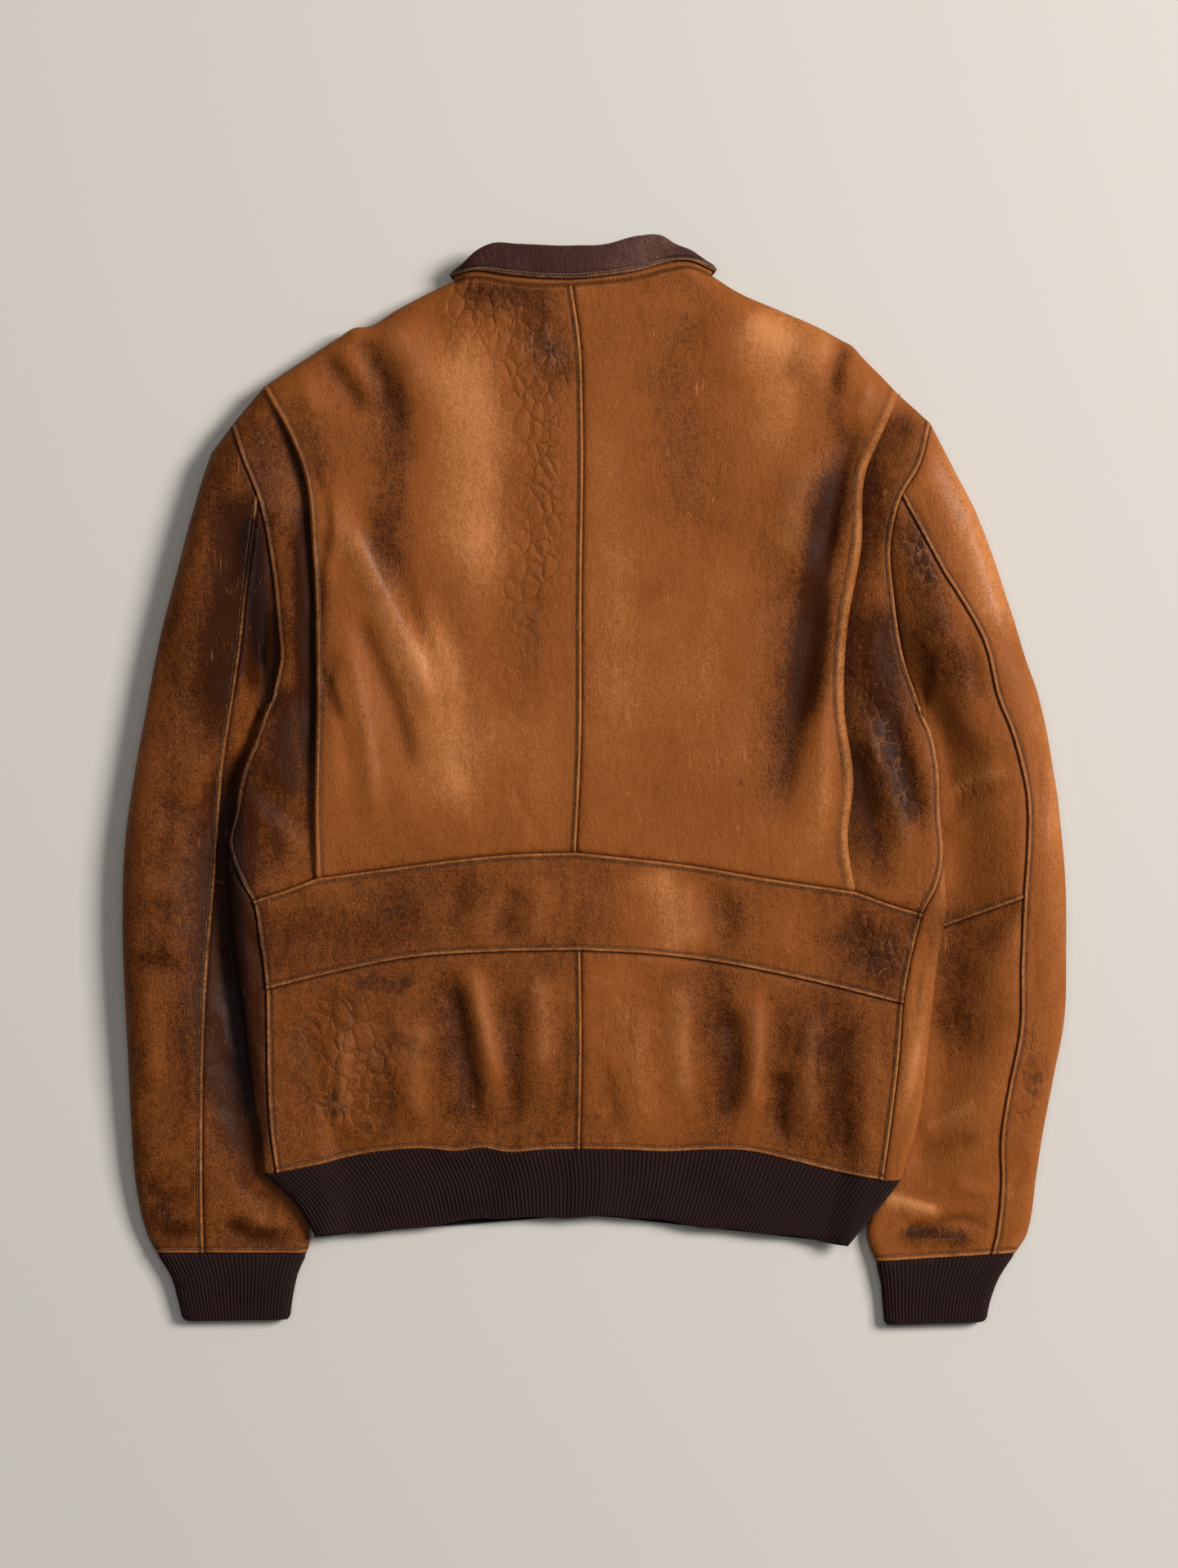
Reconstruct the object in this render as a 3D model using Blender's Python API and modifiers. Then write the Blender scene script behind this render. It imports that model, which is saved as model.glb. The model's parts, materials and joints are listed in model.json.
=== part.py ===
"""Worn leather bomber jacket lying flat on its front, back facing up.

Frame: X to the wearer's right seen from above, Y from hem to collar, Z up from
the surface it lies on, origin under the middle of the jacket. Tables are in
millimetres. The garment is built as a maker sews it: every panel is a thin
wall, 0.3 mm clear of its neighbours at the seams.
"""
import math

import bmesh
import bpy
import numpy as np

MM = 0.001
LEATHER = 2.0        # wall of the leather panels
KNIT = 2.0           # wall of the knitted bands
SEAM_GAP = 0.3       # between neighbouring panels
BODY_ON_SLEEVE = 10.4  # underside of the body over a tucked sleeve
LEAST_LOFT = 8.5     # least height between the body's two layers
FOLD_SHAPE = 0.8     # plan width of a folded edge over its height
ARMPIT_LOFT = 20.0   # height of the body's upper layer at the armpits
COLLECTION = "worn_leather_jacket"

# Height of the upper layer along the body: (y, height)
BODY_LOFT = ((-320, 11), (-262, 12.5), (-240, 15), (-200, 20), (-130, 23), (-60, 24),
             (0, 25), (100, 27), (200, 28), (300, 27), (330, 24.5), (350, 22), (385, 22))

# The largest folds: (x0, y0, x1, y1, height, half width); a trough has a negative height
FOLDS = ((-163, 312, -135, 245, -4.0, 13), (-190, 298, -158, 250, -4.0, 10),
         (176, 250, 156, 138, -4.0, 11), (156, 138, 130, -30, -3.5, 12),
         (-140, 150, -140, 95, 2.5, 18), (-165, 110, -120, -30, 2.0, 16),
         (-96, -135, -78, -245, -4.0, 10), (98, -157, 98, -205, -2.5, 10),
         (129, -205, 129, -250, -2.5, 9))

# Seams across the body, each point (x, y), broken where the seams down the body meet them
NECK_LEFT = ((-15.5, 342.7), (-37, 342.6), (-60, 344.6), (-83, 348.0), (-97, 346.0))
SHOULDER_LEFT = ((-97, 346), (-112, 339), (-139, 324.7), (-165, 314), (-195, 296), (-229, 272.4))
SHOULDER_END_LEFT = ((-229, 272.4), (-240, 259.4), (-250.5, 246.5))
NECK_RIGHT = ((-15.5, 342.7), (8, 344.6), (31, 347.6), (51, 353), (66, 355), (81, 350))
SHOULDER_RIGHT = ((81, 350), (98, 339), (130, 325), (158, 312.4), (186, 292), (210.4, 267.4))
SHOULDER_END_RIGHT = ((210.4, 267.4), (221, 258), (232.4, 247.5))
BELT_TOP_LEFT = ((-12.7, -49.2), (-56, -50.5), (-99, -54.6), (-142, -60.3), (-192, -67))
BELT_TOP_END_LEFT = ((-192, -67), (-211.6, -74.7), (-236.3, -82.5))
BELT_TOP_RIGHT = ((-12.7, -49.2), (20, -52.7), (61, -57.4), (119.6, -67.2), (180, -76.3))
BELT_TOP_END_RIGHT = ((180, -76.3), (204, -85), (226.5, -91.6))
BELT_BOTTOM_LEFT = ((-9.5, -117), (-67, -118), (-129.5, -122.3), (-181, -132.7), (-227, -144))
BELT_BOTTOM_RIGHT = ((-9.5, -117), (39.6, -119.7), (83, -124.9), (139, -135.9), (213.2, -154))
HEM_LEFT = ((-9.9, -255), (-62, -256.5), (-121, -254.6), (-175, -260.7), (-220, -271))
HEM_RIGHT = ((-9.9, -255), (40, -256.4), (100, -255.3), (152, -266), (199.6, -276))
NECKLINE_LEFT = ((-8.5, 287), (-28, 296), (-56, 314), (-80, 337), (-97, 346))
NECKLINE_RIGHT = ((0.5, 287), (18, 296), (45, 314), (68, 339), (81, 350))
FRONT_HEM_LEFT = ((-8.5, -256), (-80, -256), (-150, -259), (-229, -271))
FRONT_HEM_RIGHT = ((0.5, -256), (80, -256), (150, -263), (212, -276))

# Seams down the body
CENTRE_SEAM = ((-15.5, 342.7), (-9.5, 300), (-8, 257), (-8.8, 127), (-9.5, 16), (-12.7, -49.2))
LOWER_CENTRE_SEAM = ((-9.5, -117), (-8.8, -178), (-9.9, -255))
ZIP_X = -4.0         # centre front, under the back
ZIP_HALF = 4.5       # from the centre front to the edge of each front

# Free edge of each back panel over its pleat: (x, y, width of the rolled edge, depth of the pleat)
PLEAT_LEFT = ((-229, 272.4, 0.5, 0.0), (-212.7, 243, 3, 5), (-201, 213, 4, 8), (-195, 158, 5, 8),
              (-192.5, 73, 5, 8), (-193, 16, 5, 8), (-193.5, -23, 4, 6), (-192, -67, 1, 2.6))
PLEAT_RIGHT = ((210.4, 267.4, 0.5, 0.0), (199.6, 242, 6, 5), (187.7, 214, 8, 8), (184, 160, 9, 8),
               (174.7, 106, 8, 8), (172.6, 50, 8, 8), (179, 0, 10, 8), (175, -40, 7, 6),
               (180, -76.3, 1, 2.6))
PLEAT_UNDERLAP = 15.0  # how far a gusset runs in under the back panel
PLEAT_CLEAR = 3.0    # from the back panel's outer side down to the gusset at the pleat
PLEAT_LIP = 1.5      # first strip of the gusset beside the pleat's edge
ARMPIT_SAG = 7.0     # from the body's edge down to the sleeve at the armpit
ARMPIT_NOTCH = 3.2   # each piece stays this far back from the armpit's corner
ARMHOLE_GAP = 0.6    # sleeve from the armhole line, beside the body's half gap
SIDE_GAP = 0.5       # at the side seams, where the wall turns over the fold
HEM_FOLD_GAP = 1.0   # more room where the hem band turns over the side folds
LIP = 0.5            # narrow strip along an edge, which gives its rim the right slope

# Armholes from the shoulder down to the armpit: (x, y)
ARMHOLE_LEFT = ((-250.5, 246.5), (-243, 223), (-231.7, 194), (-224.5, 157), (-219, 107),
                (-217.6, 85), (-222.5, 60))
ARMHOLE_RIGHT = ((232.4, 247.5), (223.3, 216), (212, 196.7), (204.5, 165), (207, 127.6),
                 (214, 85), (226, 50))
SEAM_SHARE_LEFT = 0.29   # share of the armhole at which the back seam of the sleeve starts
SEAM_SHARE_RIGHT = 0.27
# Height of the body's edge along an armhole below the pleat's seam: (share of the way, height)
EDGE_LEFT = ((0, 28), (0.2, 27.2), (0.33, 27.2), (0.45, 20), (0.6, 17), (0.85, 16.5), (1, 16))
EDGE_RIGHT = ((0, 28), (0.2, 27.2), (0.33, 27.2), (0.45, 24), (0.65, 20), (0.85, 17.5), (1, 16))

# Side folds of the body and the side seams that lie on top: (y, fold x, seam x)
SIDE_LEFT = ((60, -222.5, -221.7), (46, -229, -228.2), (27, -235.4, -234.6), (5, -244, -243.2),
             (-21, -249.5, -248.7), (-43, -254.2, -253.2), (-57, -254, -249.5),
             (-70, -253.5, -243.6), (-82.5, -253, -236.3), (-110, -250.5, -231.2),
             (-144, -246, -227), (-178, -242, -226.3), (-215, -236.5, -225.8),
             (-243, -231, -224), (-271, -229, -220))
SIDE_RIGHT = ((50, 226, 225.2), (35, 233, 232.2), (12, 238, 237.2), (-23, 239.6, 238.8),
              (-55, 241.6, 240.6), (-72, 242.4, 236.5), (-91.6, 243.2, 226.5),
              (-110, 239.5, 221.5), (-154, 234, 213.2), (-187, 230.5, 210.8),
              (-222, 226.5, 207), (-243, 222.3, 204.3), (-276, 212, 199.6))

# Sleeve sections from the armhole to the cuff. Each runs from the outer fold to the inner one;
# seam is the share of the way at the back seam, high and low the shares between which the
# upper side drops from the loft to the tuck that lies under the body:
# (outer x, outer y, inner x, inner y, loft, seam, high, low, tuck)
SLEEVE_LEFT = ((-265, 227, -222.5, 50, 28, .58, .60, .80, 9.6),
               (-275.4, 194.6, -221, 38, 28, .60, .62, .83, 9.6),
               (-290.5, 138, -219, 16, 28, .60, .60, .82, 9.6),
               (-301, 97, -218, -4, 27, .59, .54, .77, 9.6),
               (-310, 50, -217, -26, 27, .57, .42, .67, 9.6),
               (-319, 0, -216, -55, 26, .57, .30, .61, 9.6),
               (-325, -45, -215, -90, 26, .565, .28, .60, 9.6),
               (-326.6, -92, -212, -130, 26, .526, .28, .62, 9.6),
               (-325.5, -140, -209, -172, 25, .485, .28, .65, 9.6),
               (-323, -189, -206, -214, 23, .45, .30, .67, 9.6),
               (-321, -235, -203, -253, 20, .425, .32, .70, 9.6),
               (-317.5, -281, -200, -288, 16, .395, .40, .84, 9.6),
               (-311, -311, -197.5, -316, 13, .355, .40, .84, 10),
               (-303.6, -327, -199.3, -327, 12, .32, .40, .84, 12))
SLEEVE_RIGHT = ((251, 211.5, 226, 40, 28, .40, .70, .90, 9.6),
                (266.6, 179.5, 225.5, 28, 28, .355, .66, .88, 9.6),
                (285, 127.6, 224, 8, 28, .27, .50, .77, 9.6),
                (298, 86, 222, -14, 27, .27, .40, .73, 9.6),
                (309, 52, 220, -35, 27, .235, .34, .73, 9.6),
                (318, 5, 218, -50, 26, .205, .32, .72, 9.6),
                (322.4, -28, 216, -73, 26, .224, .30, .71, 9.6),
                (326, -70, 213, -112, 26, .265, .30, .69, 9.6),
                (326.6, -118, 209, -152, 25, .275, .32, .73, 9.6),
                (325.5, -163, 206, -192, 24, .267, .34, .74, 9.6),
                (318, -205, 203, -228, 22, .278, .36, .74, 9.6),
                (311, -242, 199, -262, 19, .27, .38, .79, 9.6),
                (306, -275.6, 194, -293, 16, .22, .40, .86, 9.6),
                (301, -310, 189, -315, 13, .20, .40, .86, 10),
                (292, -327, 195, -333, 12, .18, .40, .86, 12))
ELBOW_LEFT = 6       # section of each sleeve that carries the elbow seam
ELBOW_RIGHT = 7
SEAM_STRIP = 0.01    # share of a section that lies level beside its back seam
UNDERARM_SHARE = 0.78  # front seam of the sleeves, on the side that lies down

# Knitted cuffs: (left x, left y, right x, right y, height)
CUFF_LEFT = ((-303.3, -328.2, -199.6, -328.6, 12), (-293.5, -344, -205.5, -342, 12),
             (-289, -360, -209, -358, 11), (-285.5, -374.5, -211, -373.5, 10.5))
CUFF_RIGHT = ((195.3, -334.4, 291.7, -328.2, 12), (198.5, -350, 281, -344, 12),
              (199.8, -363, 275, -360, 11), (201, -377.2, 272, -375.2, 10.5))

# Knitted hem: (left x, left y, middle y, right x, right y, height)
HEM_BAND = ((-228.0, -272.0, -256, 210.5, -277.5, 12.2), (-206, -293, -278, 195, -298, 11.5),
            (-192.8, -315.5, -301.5, 176, -321, 11))

# Collar, from one front edge round the back of the neck to the other:
# (x, leaf edge above the neck seam, crest above the neck seam, turn from the back in degrees)
COLLAR = ((-9.5, -27, 23, 180), (-30, -33, 22, 180), (-56, -28, 21, 180), (-78, -14, 16, 180),
          (-90, 0, 10, 150), (-97, 3, 8.5, 90), (-91, 3.5, 11, 40), (-82, 3.8, 18, 10),
          (-70, 4.2, 25, 0), (-54, 4.4, 27.4, 0), (-34, 4.2, 27.4, 0), (-12, 3.4, 27, 0),
          (10, 3.8, 26.8, 0), (31, 4.4, 29.2, 0), (46, 4.6, 25, 0), (58, 4.4, 16, 0),
          (68, 3.6, 11.5, 15), (76, 3.2, 9, 50), (81, 3, 8.5, 90), (75, 0, 10, 150),
          (66, -12, 15, 180), (46, -27, 20, 180), (20, -33, 22, 180), (1.5, -27, 23, 180))
NECK_LOW = 2.8       # underside of the fronts where the collar lies under them
LEAF_RISE = 2.8      # the leaf's outer side over the stand's
LEAF_TURN = 4.6      # half the height of the leaf's fold

# Closing at the centre front: chain, slider with its lugs and pin, pull tab
ZIP_LIFT = 4.2       # how far the fronts rise beside the closing
ZIP_TOP = 283.0
ZIP_BOTTOM = -296.0
CHAIN_HALF = ZIP_HALF - SEAM_GAP
CHAIN_Z = (4.3, 6.1)
SLIDER_Z = (3.8, 7.8)
SLIDER_LENGTH = 13.0
SLIDER_BEVEL = 0.6
PIN_Z = 1.9
PIN_RADIUS = 0.7
PIN_FROM_END = 4.0
LUG_HALF = 1.6       # half the size of a lug along Y
LUG_INSIDE = 3.1     # from the centre front to a lug
LUG_BELOW_PIN = 1.2
TAB_LENGTH = 25.0
TAB_HALF_WIDTH = 2.7
TAB_HALF_WALL = 0.6
EYE_RADIUS = 1.6
EYE_HOLE = 1.05

TAN = (0.27, 0.10, 0.03)
BROWN = (0.17, 0.06, 0.02)
DARK_BROWN = (0.07, 0.03, 0.018)
MAROON = (0.042, 0.013, 0.011)
BRASS = (0.42, 0.27, 0.10)

# Shares of the way from the outer fold at which sleeve walls and armholes have their points:
# first down to the back seam on the upper side, then on to the inner fold, then the lower side
TOP_STEPS = (0, .09, .24, .45, .60, .78, .97, 1)
UNDER_STEPS = (0, .02, .17, .34, .51, .68, .85, 1)
DOWN_STEPS = (0, .025, .07, .13, .35, .57, UNDERARM_SHARE, .86, .94, 1)
DOWN_TO_SEAM = 6     # steps of the lower side that belong to the top sleeve
BACK_ROWS = 12
NECK_COLUMNS = 3
SHOULDER_COLUMNS = 4
END_SHARES = (0, .45, .8, 1)
NECKLINE_COLUMNS = 3
FRONT_SHARES = (0, .15, .34, .52, .67, .79, .87, .93, .97, .992, 1)
WRAP_SHARES = (0, .12, .45, 1)
LOWER_COLUMNS = 10


def spline(knots, values, at):
    """Smooth curve through the rows of values, read at the given places on the knots."""
    knots = np.asarray(knots, float)
    values = np.asarray(values, float)
    at = np.asarray(at, float)
    slopes = np.gradient(values, knots, axis=0)
    i = np.clip(np.searchsorted(knots, at, side="right") - 1, 0, len(knots) - 2)
    width = (knots[i + 1] - knots[i])[:, None]
    t = (at - knots[i])[:, None] / width
    rise = (1 + 2 * t) * (1 - t) ** 2 * values[i] + t * t * (3 - 2 * t) * values[i + 1]
    return rise + width * t * (1 - t) * ((1 - t) * slopes[i] - t * slopes[i + 1])


def walk(points, shares):
    """Points at the given shares of the way along a smooth curve through a table's points."""
    points = np.asarray(points, float)
    steps = np.linalg.norm(np.diff(points[:, :2], axis=0), axis=1)
    reach = np.concatenate(([0.0], np.cumsum(steps)))
    return spline(reach / reach[-1], points, shares)


def even(points, count):
    return walk(points, np.linspace(0, 1, count + 1))


def join(*runs):
    """One line of points from runs that share their end points."""
    return np.concatenate([runs[0]] + [run[1:] for run in runs[1:]])


def ease(t):
    t = np.clip(t, 0, 1)
    return t * t * (3 - 2 * t)


def dome(t):
    """Height of a rounded edge, from 0 at the edge to 1."""
    return np.sqrt(1 - (1 - np.clip(t, 0, 1)) ** 2)


def distance(line, x, y):
    """Distance in plan from points to a line of points."""
    line = np.asarray(line, float)[:, :2]
    start = line[:-1]
    along = line[1:] - start
    point = np.stack((x, y), -1)[..., None, :]
    t = ((point - start) * along).sum(-1) / (along * along).sum(-1)
    nearest = start + np.clip(t, 0, 1)[..., None] * along
    return np.linalg.norm(point - nearest, axis=-1).min(-1)


def table_value(table, at, column=1):
    rows = sorted(table)
    return np.interp(at, [row[0] for row in rows], [row[column] for row in rows])


class Side:
    """The tables of one side of the jacket, and the lines worked out from them."""

    def __init__(self, name, sign, armhole, share, edge, side, sleeve, elbow, pleat,
                 shoulder, end):
        self.name = name
        self.sign = sign
        self.edge = edge
        self.side = np.array(side, float)
        self.sleeve = np.array(sleeve, float)
        self.elbow = elbow
        self.pleat = pleat
        top = np.array(TOP_STEPS) * share
        under = share + np.array(UNDER_STEPS) * (1 - share)
        self.top_shares = np.concatenate((top, under[1:]))
        self.down_shares = np.array(DOWN_STEPS)
        self.armhole_curve = armhole
        self.shoulder = even(shoulder, SHOULDER_COLUMNS)
        self.end = walk(end, END_SHARES)
        self.armpit = np.array(armhole[-1], float)
        self.fold_line = self.side[:, [1, 0]]
        self.inner_line = self.sleeve[:, 2:4]
        self.outer_line = join(self.end, np.concatenate((self.end[-1:], self.sleeve[:, :2])))

    def armhole(self, shares):
        return walk(self.armhole_curve, shares)


LEFT = Side("left", -1, ARMHOLE_LEFT, SEAM_SHARE_LEFT, EDGE_LEFT, SIDE_LEFT, SLEEVE_LEFT,
            ELBOW_LEFT, PLEAT_LEFT, SHOULDER_LEFT, SHOULDER_END_LEFT)
RIGHT = Side("right", 1, ARMHOLE_RIGHT, SEAM_SHARE_RIGHT, EDGE_RIGHT, SIDE_RIGHT, SLEEVE_RIGHT,
             ELBOW_RIGHT, PLEAT_RIGHT, SHOULDER_RIGHT, SHOULDER_END_RIGHT)
SIDES = (LEFT, RIGHT)


NECK_SEAM = join(even(NECK_LEFT, NECK_COLUMNS)[::-1], even(NECK_RIGHT, NECK_COLUMNS))
NECKLINE = join(even(NECKLINE_LEFT, NECKLINE_COLUMNS)[::-1],
                even(NECKLINE_RIGHT, NECKLINE_COLUMNS))


def outline():
    """The jacket's own edge lines: shoulders with the collar between, and both sides."""
    crest = [(x, np.interp(x, NECK_SEAM[:, 0], NECK_SEAM[:, 1]) + up)
             for x, leaf, up, turn in COLLAR if turn < 60]
    left_top = join(LEFT.outer_line[:6][::-1], LEFT.shoulder[::-1])
    right_top = join(RIGHT.shoulder, RIGHT.outer_line[:6])
    top = np.concatenate((left_top, crest, right_top))
    hem = np.array(HEM_BAND, float)
    left = np.concatenate((LEFT.fold_line, hem[:, :2]))
    right = np.concatenate((RIGHT.fold_line, hem[:, 3:5]))
    return top, left, right


OUTLINE = outline()


def underlay(x, y):
    """Height of the body's underside away from its folds: 0, or over what it lies on."""
    lift = np.zeros_like(x)
    for side in SIDES:
        inner = side.sign * table_value([(row[3], row[2]) for row in side.sleeve], y)
        across = ease((side.sign * x - inner + 38) / 28)
        along = ease((side.armpit[1] + 30 - y) / 28)
        lift = np.maximum(lift, BODY_ON_SLEEVE * across * along)
    zip_lift = ZIP_LIFT * (1 - ease((np.abs(x - ZIP_X) - 8) / 16))
    collar_lift = NECK_LOW * ease((50 - distance(NECKLINE, x, y)) / 12)
    return np.maximum(lift, np.maximum(zip_lift, collar_lift))


def fold_height(x, y):
    """Sum of the largest folds: soft troughs and ridges along short lines."""
    total = np.zeros_like(x)
    for x0, y0, x1, y1, height, half_width in FOLDS:
        line = ((x0, y0), (x1, y1))
        total += height * np.exp(-(distance(line, x, y) / half_width) ** 2)
    return total


def body_range(x, y):
    """Underside and upper side of the body away from its folded edges."""
    base = underlay(x, y)
    loft = table_value(BODY_LOFT, y) + fold_height(x, y)
    for side in SIDES:
        reach = np.hypot(x - side.armpit[0], y - side.armpit[1])
        loft -= (loft - ARMPIT_LOFT) * np.exp(-(reach / 22) ** 2)
    least = base + LEAST_LOFT
    loft = 0.5 * (loft + least + np.sqrt((loft - least) ** 2 + 4))
    return base, loft


def roundness(x, y, base, loft):
    nearest = np.min([distance(line, x, y) for line in OUTLINE], axis=0)
    return dome(nearest / (FOLD_SHAPE * (loft - base)))


def upper(x, y):
    """Height of the outer side of the back."""
    base, loft = body_range(x, y)
    half = (loft - base) / 2
    return base + half + half * roundness(x, y, base, loft)


def lower(x, y):
    """Height of the outer side of the fronts, which lie underneath."""
    base, loft = body_range(x, y)
    half = (loft - base) / 2
    return base + half - half * roundness(x, y, base, loft)


def patch(top, bottom, start, end):
    """Plan of a panel between four seams; start and end run from the top to the bottom."""
    down = (0.5 * (shares_of(start) + shares_of(end)))[:, None]
    over = (1 - down) * shares_of(top) + down * shares_of(bottom)
    down = down[..., None]
    over = over[..., None]
    rows = (1 - down) * top + down * bottom
    columns = (1 - over) * start[:, None] + over * end[:, None]
    corners = ((1 - down) * ((1 - over) * top[0] + over * top[-1])
               + down * ((1 - over) * bottom[0] + over * bottom[-1]))
    return rows + columns - corners


def shares_of(points):
    steps = np.linalg.norm(np.diff(points[:, :2], axis=0), axis=1)
    reach = np.concatenate(([0.0], np.cumsum(steps)))
    return reach / reach[-1]


def raised(plan, height):
    """A plan grid with its heights as a third column."""
    return np.concatenate((plan, height(plan[..., 0], plan[..., 1])[..., None]), axis=-1)


def unit(ways):
    return ways / np.linalg.norm(ways, axis=-1, keepdims=True)


def drawn_in(grid, gaps):
    """The grid with its border moved in: gaps for first row, last row, first and last column."""
    grid = grid.copy()
    for gap, line, inner in zip(gaps, (grid[0], grid[-1], grid[:, 0], grid[:, -1]),
                                (grid[1], grid[-2], grid[:, 1], grid[:, -2])):
        line += gap * unit(inner - line)
    return grid


def lipped(grid, height, side_of_fold):
    """Adds a narrow strip behind the first row; on a folded edge it stands upright."""
    first = grid[0].copy()
    way = grid[1, :, :2] - grid[0, :, :2]
    way /= np.linalg.norm(way, axis=1, keepdims=True)
    nearest = np.min([distance(line, first[:, 0], first[:, 1]) for line in OUTLINE], axis=0)
    on_fold = nearest < 0.3
    plan = first[:, :2] + way * np.where(on_fold, 0.1, 2 * LIP)[:, None]
    strip = raised(plan, height)
    strip[on_fold, 2] = first[on_fold, 2] + side_of_fold * 1.4
    meets_neck = on_fold & ~(np.roll(on_fold, 1) & np.roll(on_fold, -1))
    first[on_fold, 2] += side_of_fold * SEAM_GAP / 2
    first[meets_neck, 2] += side_of_fold * 0.8
    return np.concatenate((first[None], strip[None], grid[1:]))


def edged(grid, height):
    """Adds a narrow strip inside the last column, on the same surface."""
    way = grid[:, -2, :2] - grid[:, -1, :2]
    way /= np.linalg.norm(way, axis=1, keepdims=True)
    strip = raised(grid[:, -1, :2] + way * LIP, height)
    return np.concatenate((grid[:, :-1], strip[:, None], grid[:, -1:]), axis=1)


def notch(side, plan):
    """How far points near the armpit stand back from its corner."""
    reach = np.linalg.norm(plan - side.armpit, axis=-1)
    return ARMPIT_NOTCH * np.exp(-(reach / 16) ** 2)


def belt_top(side):
    main, end = ((BELT_TOP_LEFT, BELT_TOP_END_LEFT) if side is LEFT
                 else (BELT_TOP_RIGHT, BELT_TOP_END_RIGHT))
    return even(main, NECK_COLUMNS + SHOULDER_COLUMNS), walk(end, END_SHARES)


def side_rows(side, first, last, column):
    """Points of the side fold (column 1) or side seam (column 2) between two heights y."""
    rows = side.side[(side.side[:, 0] <= first) & (side.side[:, 0] >= last)]
    return rows[:, [column, 0]]


def belt_ends(side):
    return belt_top(side)[1][-1][1], (BELT_BOTTOM_LEFT if side is LEFT else BELT_BOTTOM_RIGHT)[-1][1]


def back_panel(side, neck):
    """Upper back from the neck and shoulder to the belt, its free edge rolled over the pleat."""
    top = join(even(neck, NECK_COLUMNS), side.shoulder)
    pleat = walk(side.pleat, np.linspace(0, 1, BACK_ROWS + 1))
    plan = patch(top, belt_top(side)[0], even(CENTRE_SEAM, BACK_ROWS), pleat[:, :2])
    inward = plan[:, -2] - plan[:, -1]
    inward /= np.linalg.norm(inward, axis=1, keepdims=True)
    roll = plan[:, -1] + inward * pleat[:, 2:3]
    grid = raised(np.concatenate((plan[:, :-1], roll[:, None], plan[:, -1:]), axis=1), upper)
    grid[:, -1, 2] -= np.maximum(pleat[:, 3] - PLEAT_CLEAR, 0)
    return lipped(drawn_in(grid, (SEAM_GAP / 2, SEAM_GAP / 2, SEAM_GAP / 2, 0.1)), upper, 1)


def gusset(side):
    """Inset strip from under the back panel's edge to the armhole and the side seam."""
    belt_y = belt_ends(side)[0]
    outer = np.concatenate((side.armhole(side.top_shares)[:-1], side_rows(side, 99, belt_y, 2)))
    pleat = walk(side.pleat, shares_of(outer))
    depth = np.maximum(pleat[:, 3:4], 0)
    outer[:, 0] -= side.sign * notch(side, outer)
    plan = patch(side.end, belt_top(side)[1], pleat[:, :2], outer)
    outward = plan[:, 1] - plan[:, 0]
    outward /= np.linalg.norm(outward, axis=1, keepdims=True)
    tucked = np.clip((depth - PLEAT_CLEAR - 2) / 2, 0, 1)
    inner = plan[:, 0] + outward * (2 * SEAM_GAP - (PLEAT_UNDERLAP + 2 * SEAM_GAP) * tucked)
    beside = plan[:, 0] + outward * PLEAT_LIP
    plan = np.concatenate((inner[:, None], beside[:, None], plan[:, 1:]), axis=1)
    grid = raised(plan, upper)
    share = np.array((0, 0) + END_SHARES[1:])
    grid[..., 2] -= depth * (1 - share)
    count = len(side.top_shares)
    edge = table_value(side.edge, side.top_shares)
    drop = np.maximum(grid[:count, -1, 2] - edge, 0)
    grid[:count, :, 2] -= drop[:, None] * share ** 2
    grid = lipped(drawn_in(grid, (SEAM_GAP / 2, SEAM_GAP / 2, 0, SIDE_GAP / 2)), upper, 1)
    grid = edged(grid, upper)
    grid[:count + 1, -2, 2] = grid[:count + 1, -1, 2] + 0.05
    return grid


def belt():
    left, left_end = belt_top(LEFT)
    right, right_end = belt_top(RIGHT)
    top = join(left_end[::-1], left[::-1], right, right_end)
    bottom = join(even(BELT_BOTTOM_LEFT, LOWER_COLUMNS)[::-1], even(BELT_BOTTOM_RIGHT, LOWER_COLUMNS))
    ends = [side_rows(side, *belt_ends(side), 2) for side in SIDES]
    grid = drawn_in(raised(patch(top, bottom, *ends), upper),
                    (SEAM_GAP / 2, SEAM_GAP / 2, SIDE_GAP / 2, SIDE_GAP / 2))
    return edged(edged(grid, upper)[:, ::-1], upper)[:, ::-1]


def lower_back(side, belt_seam, hem):
    outer = side_rows(side, belt_ends(side)[1], -999, 2)
    centre = even(LOWER_CENTRE_SEAM, len(outer) - 1)
    plan = patch(even(belt_seam, LOWER_COLUMNS), even(hem, LOWER_COLUMNS), centre, outer)
    grid = drawn_in(raised(plan, upper), (SEAM_GAP / 2, SEAM_GAP / 2, SEAM_GAP / 2, SIDE_GAP / 2))
    return edged(grid, upper)


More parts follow.
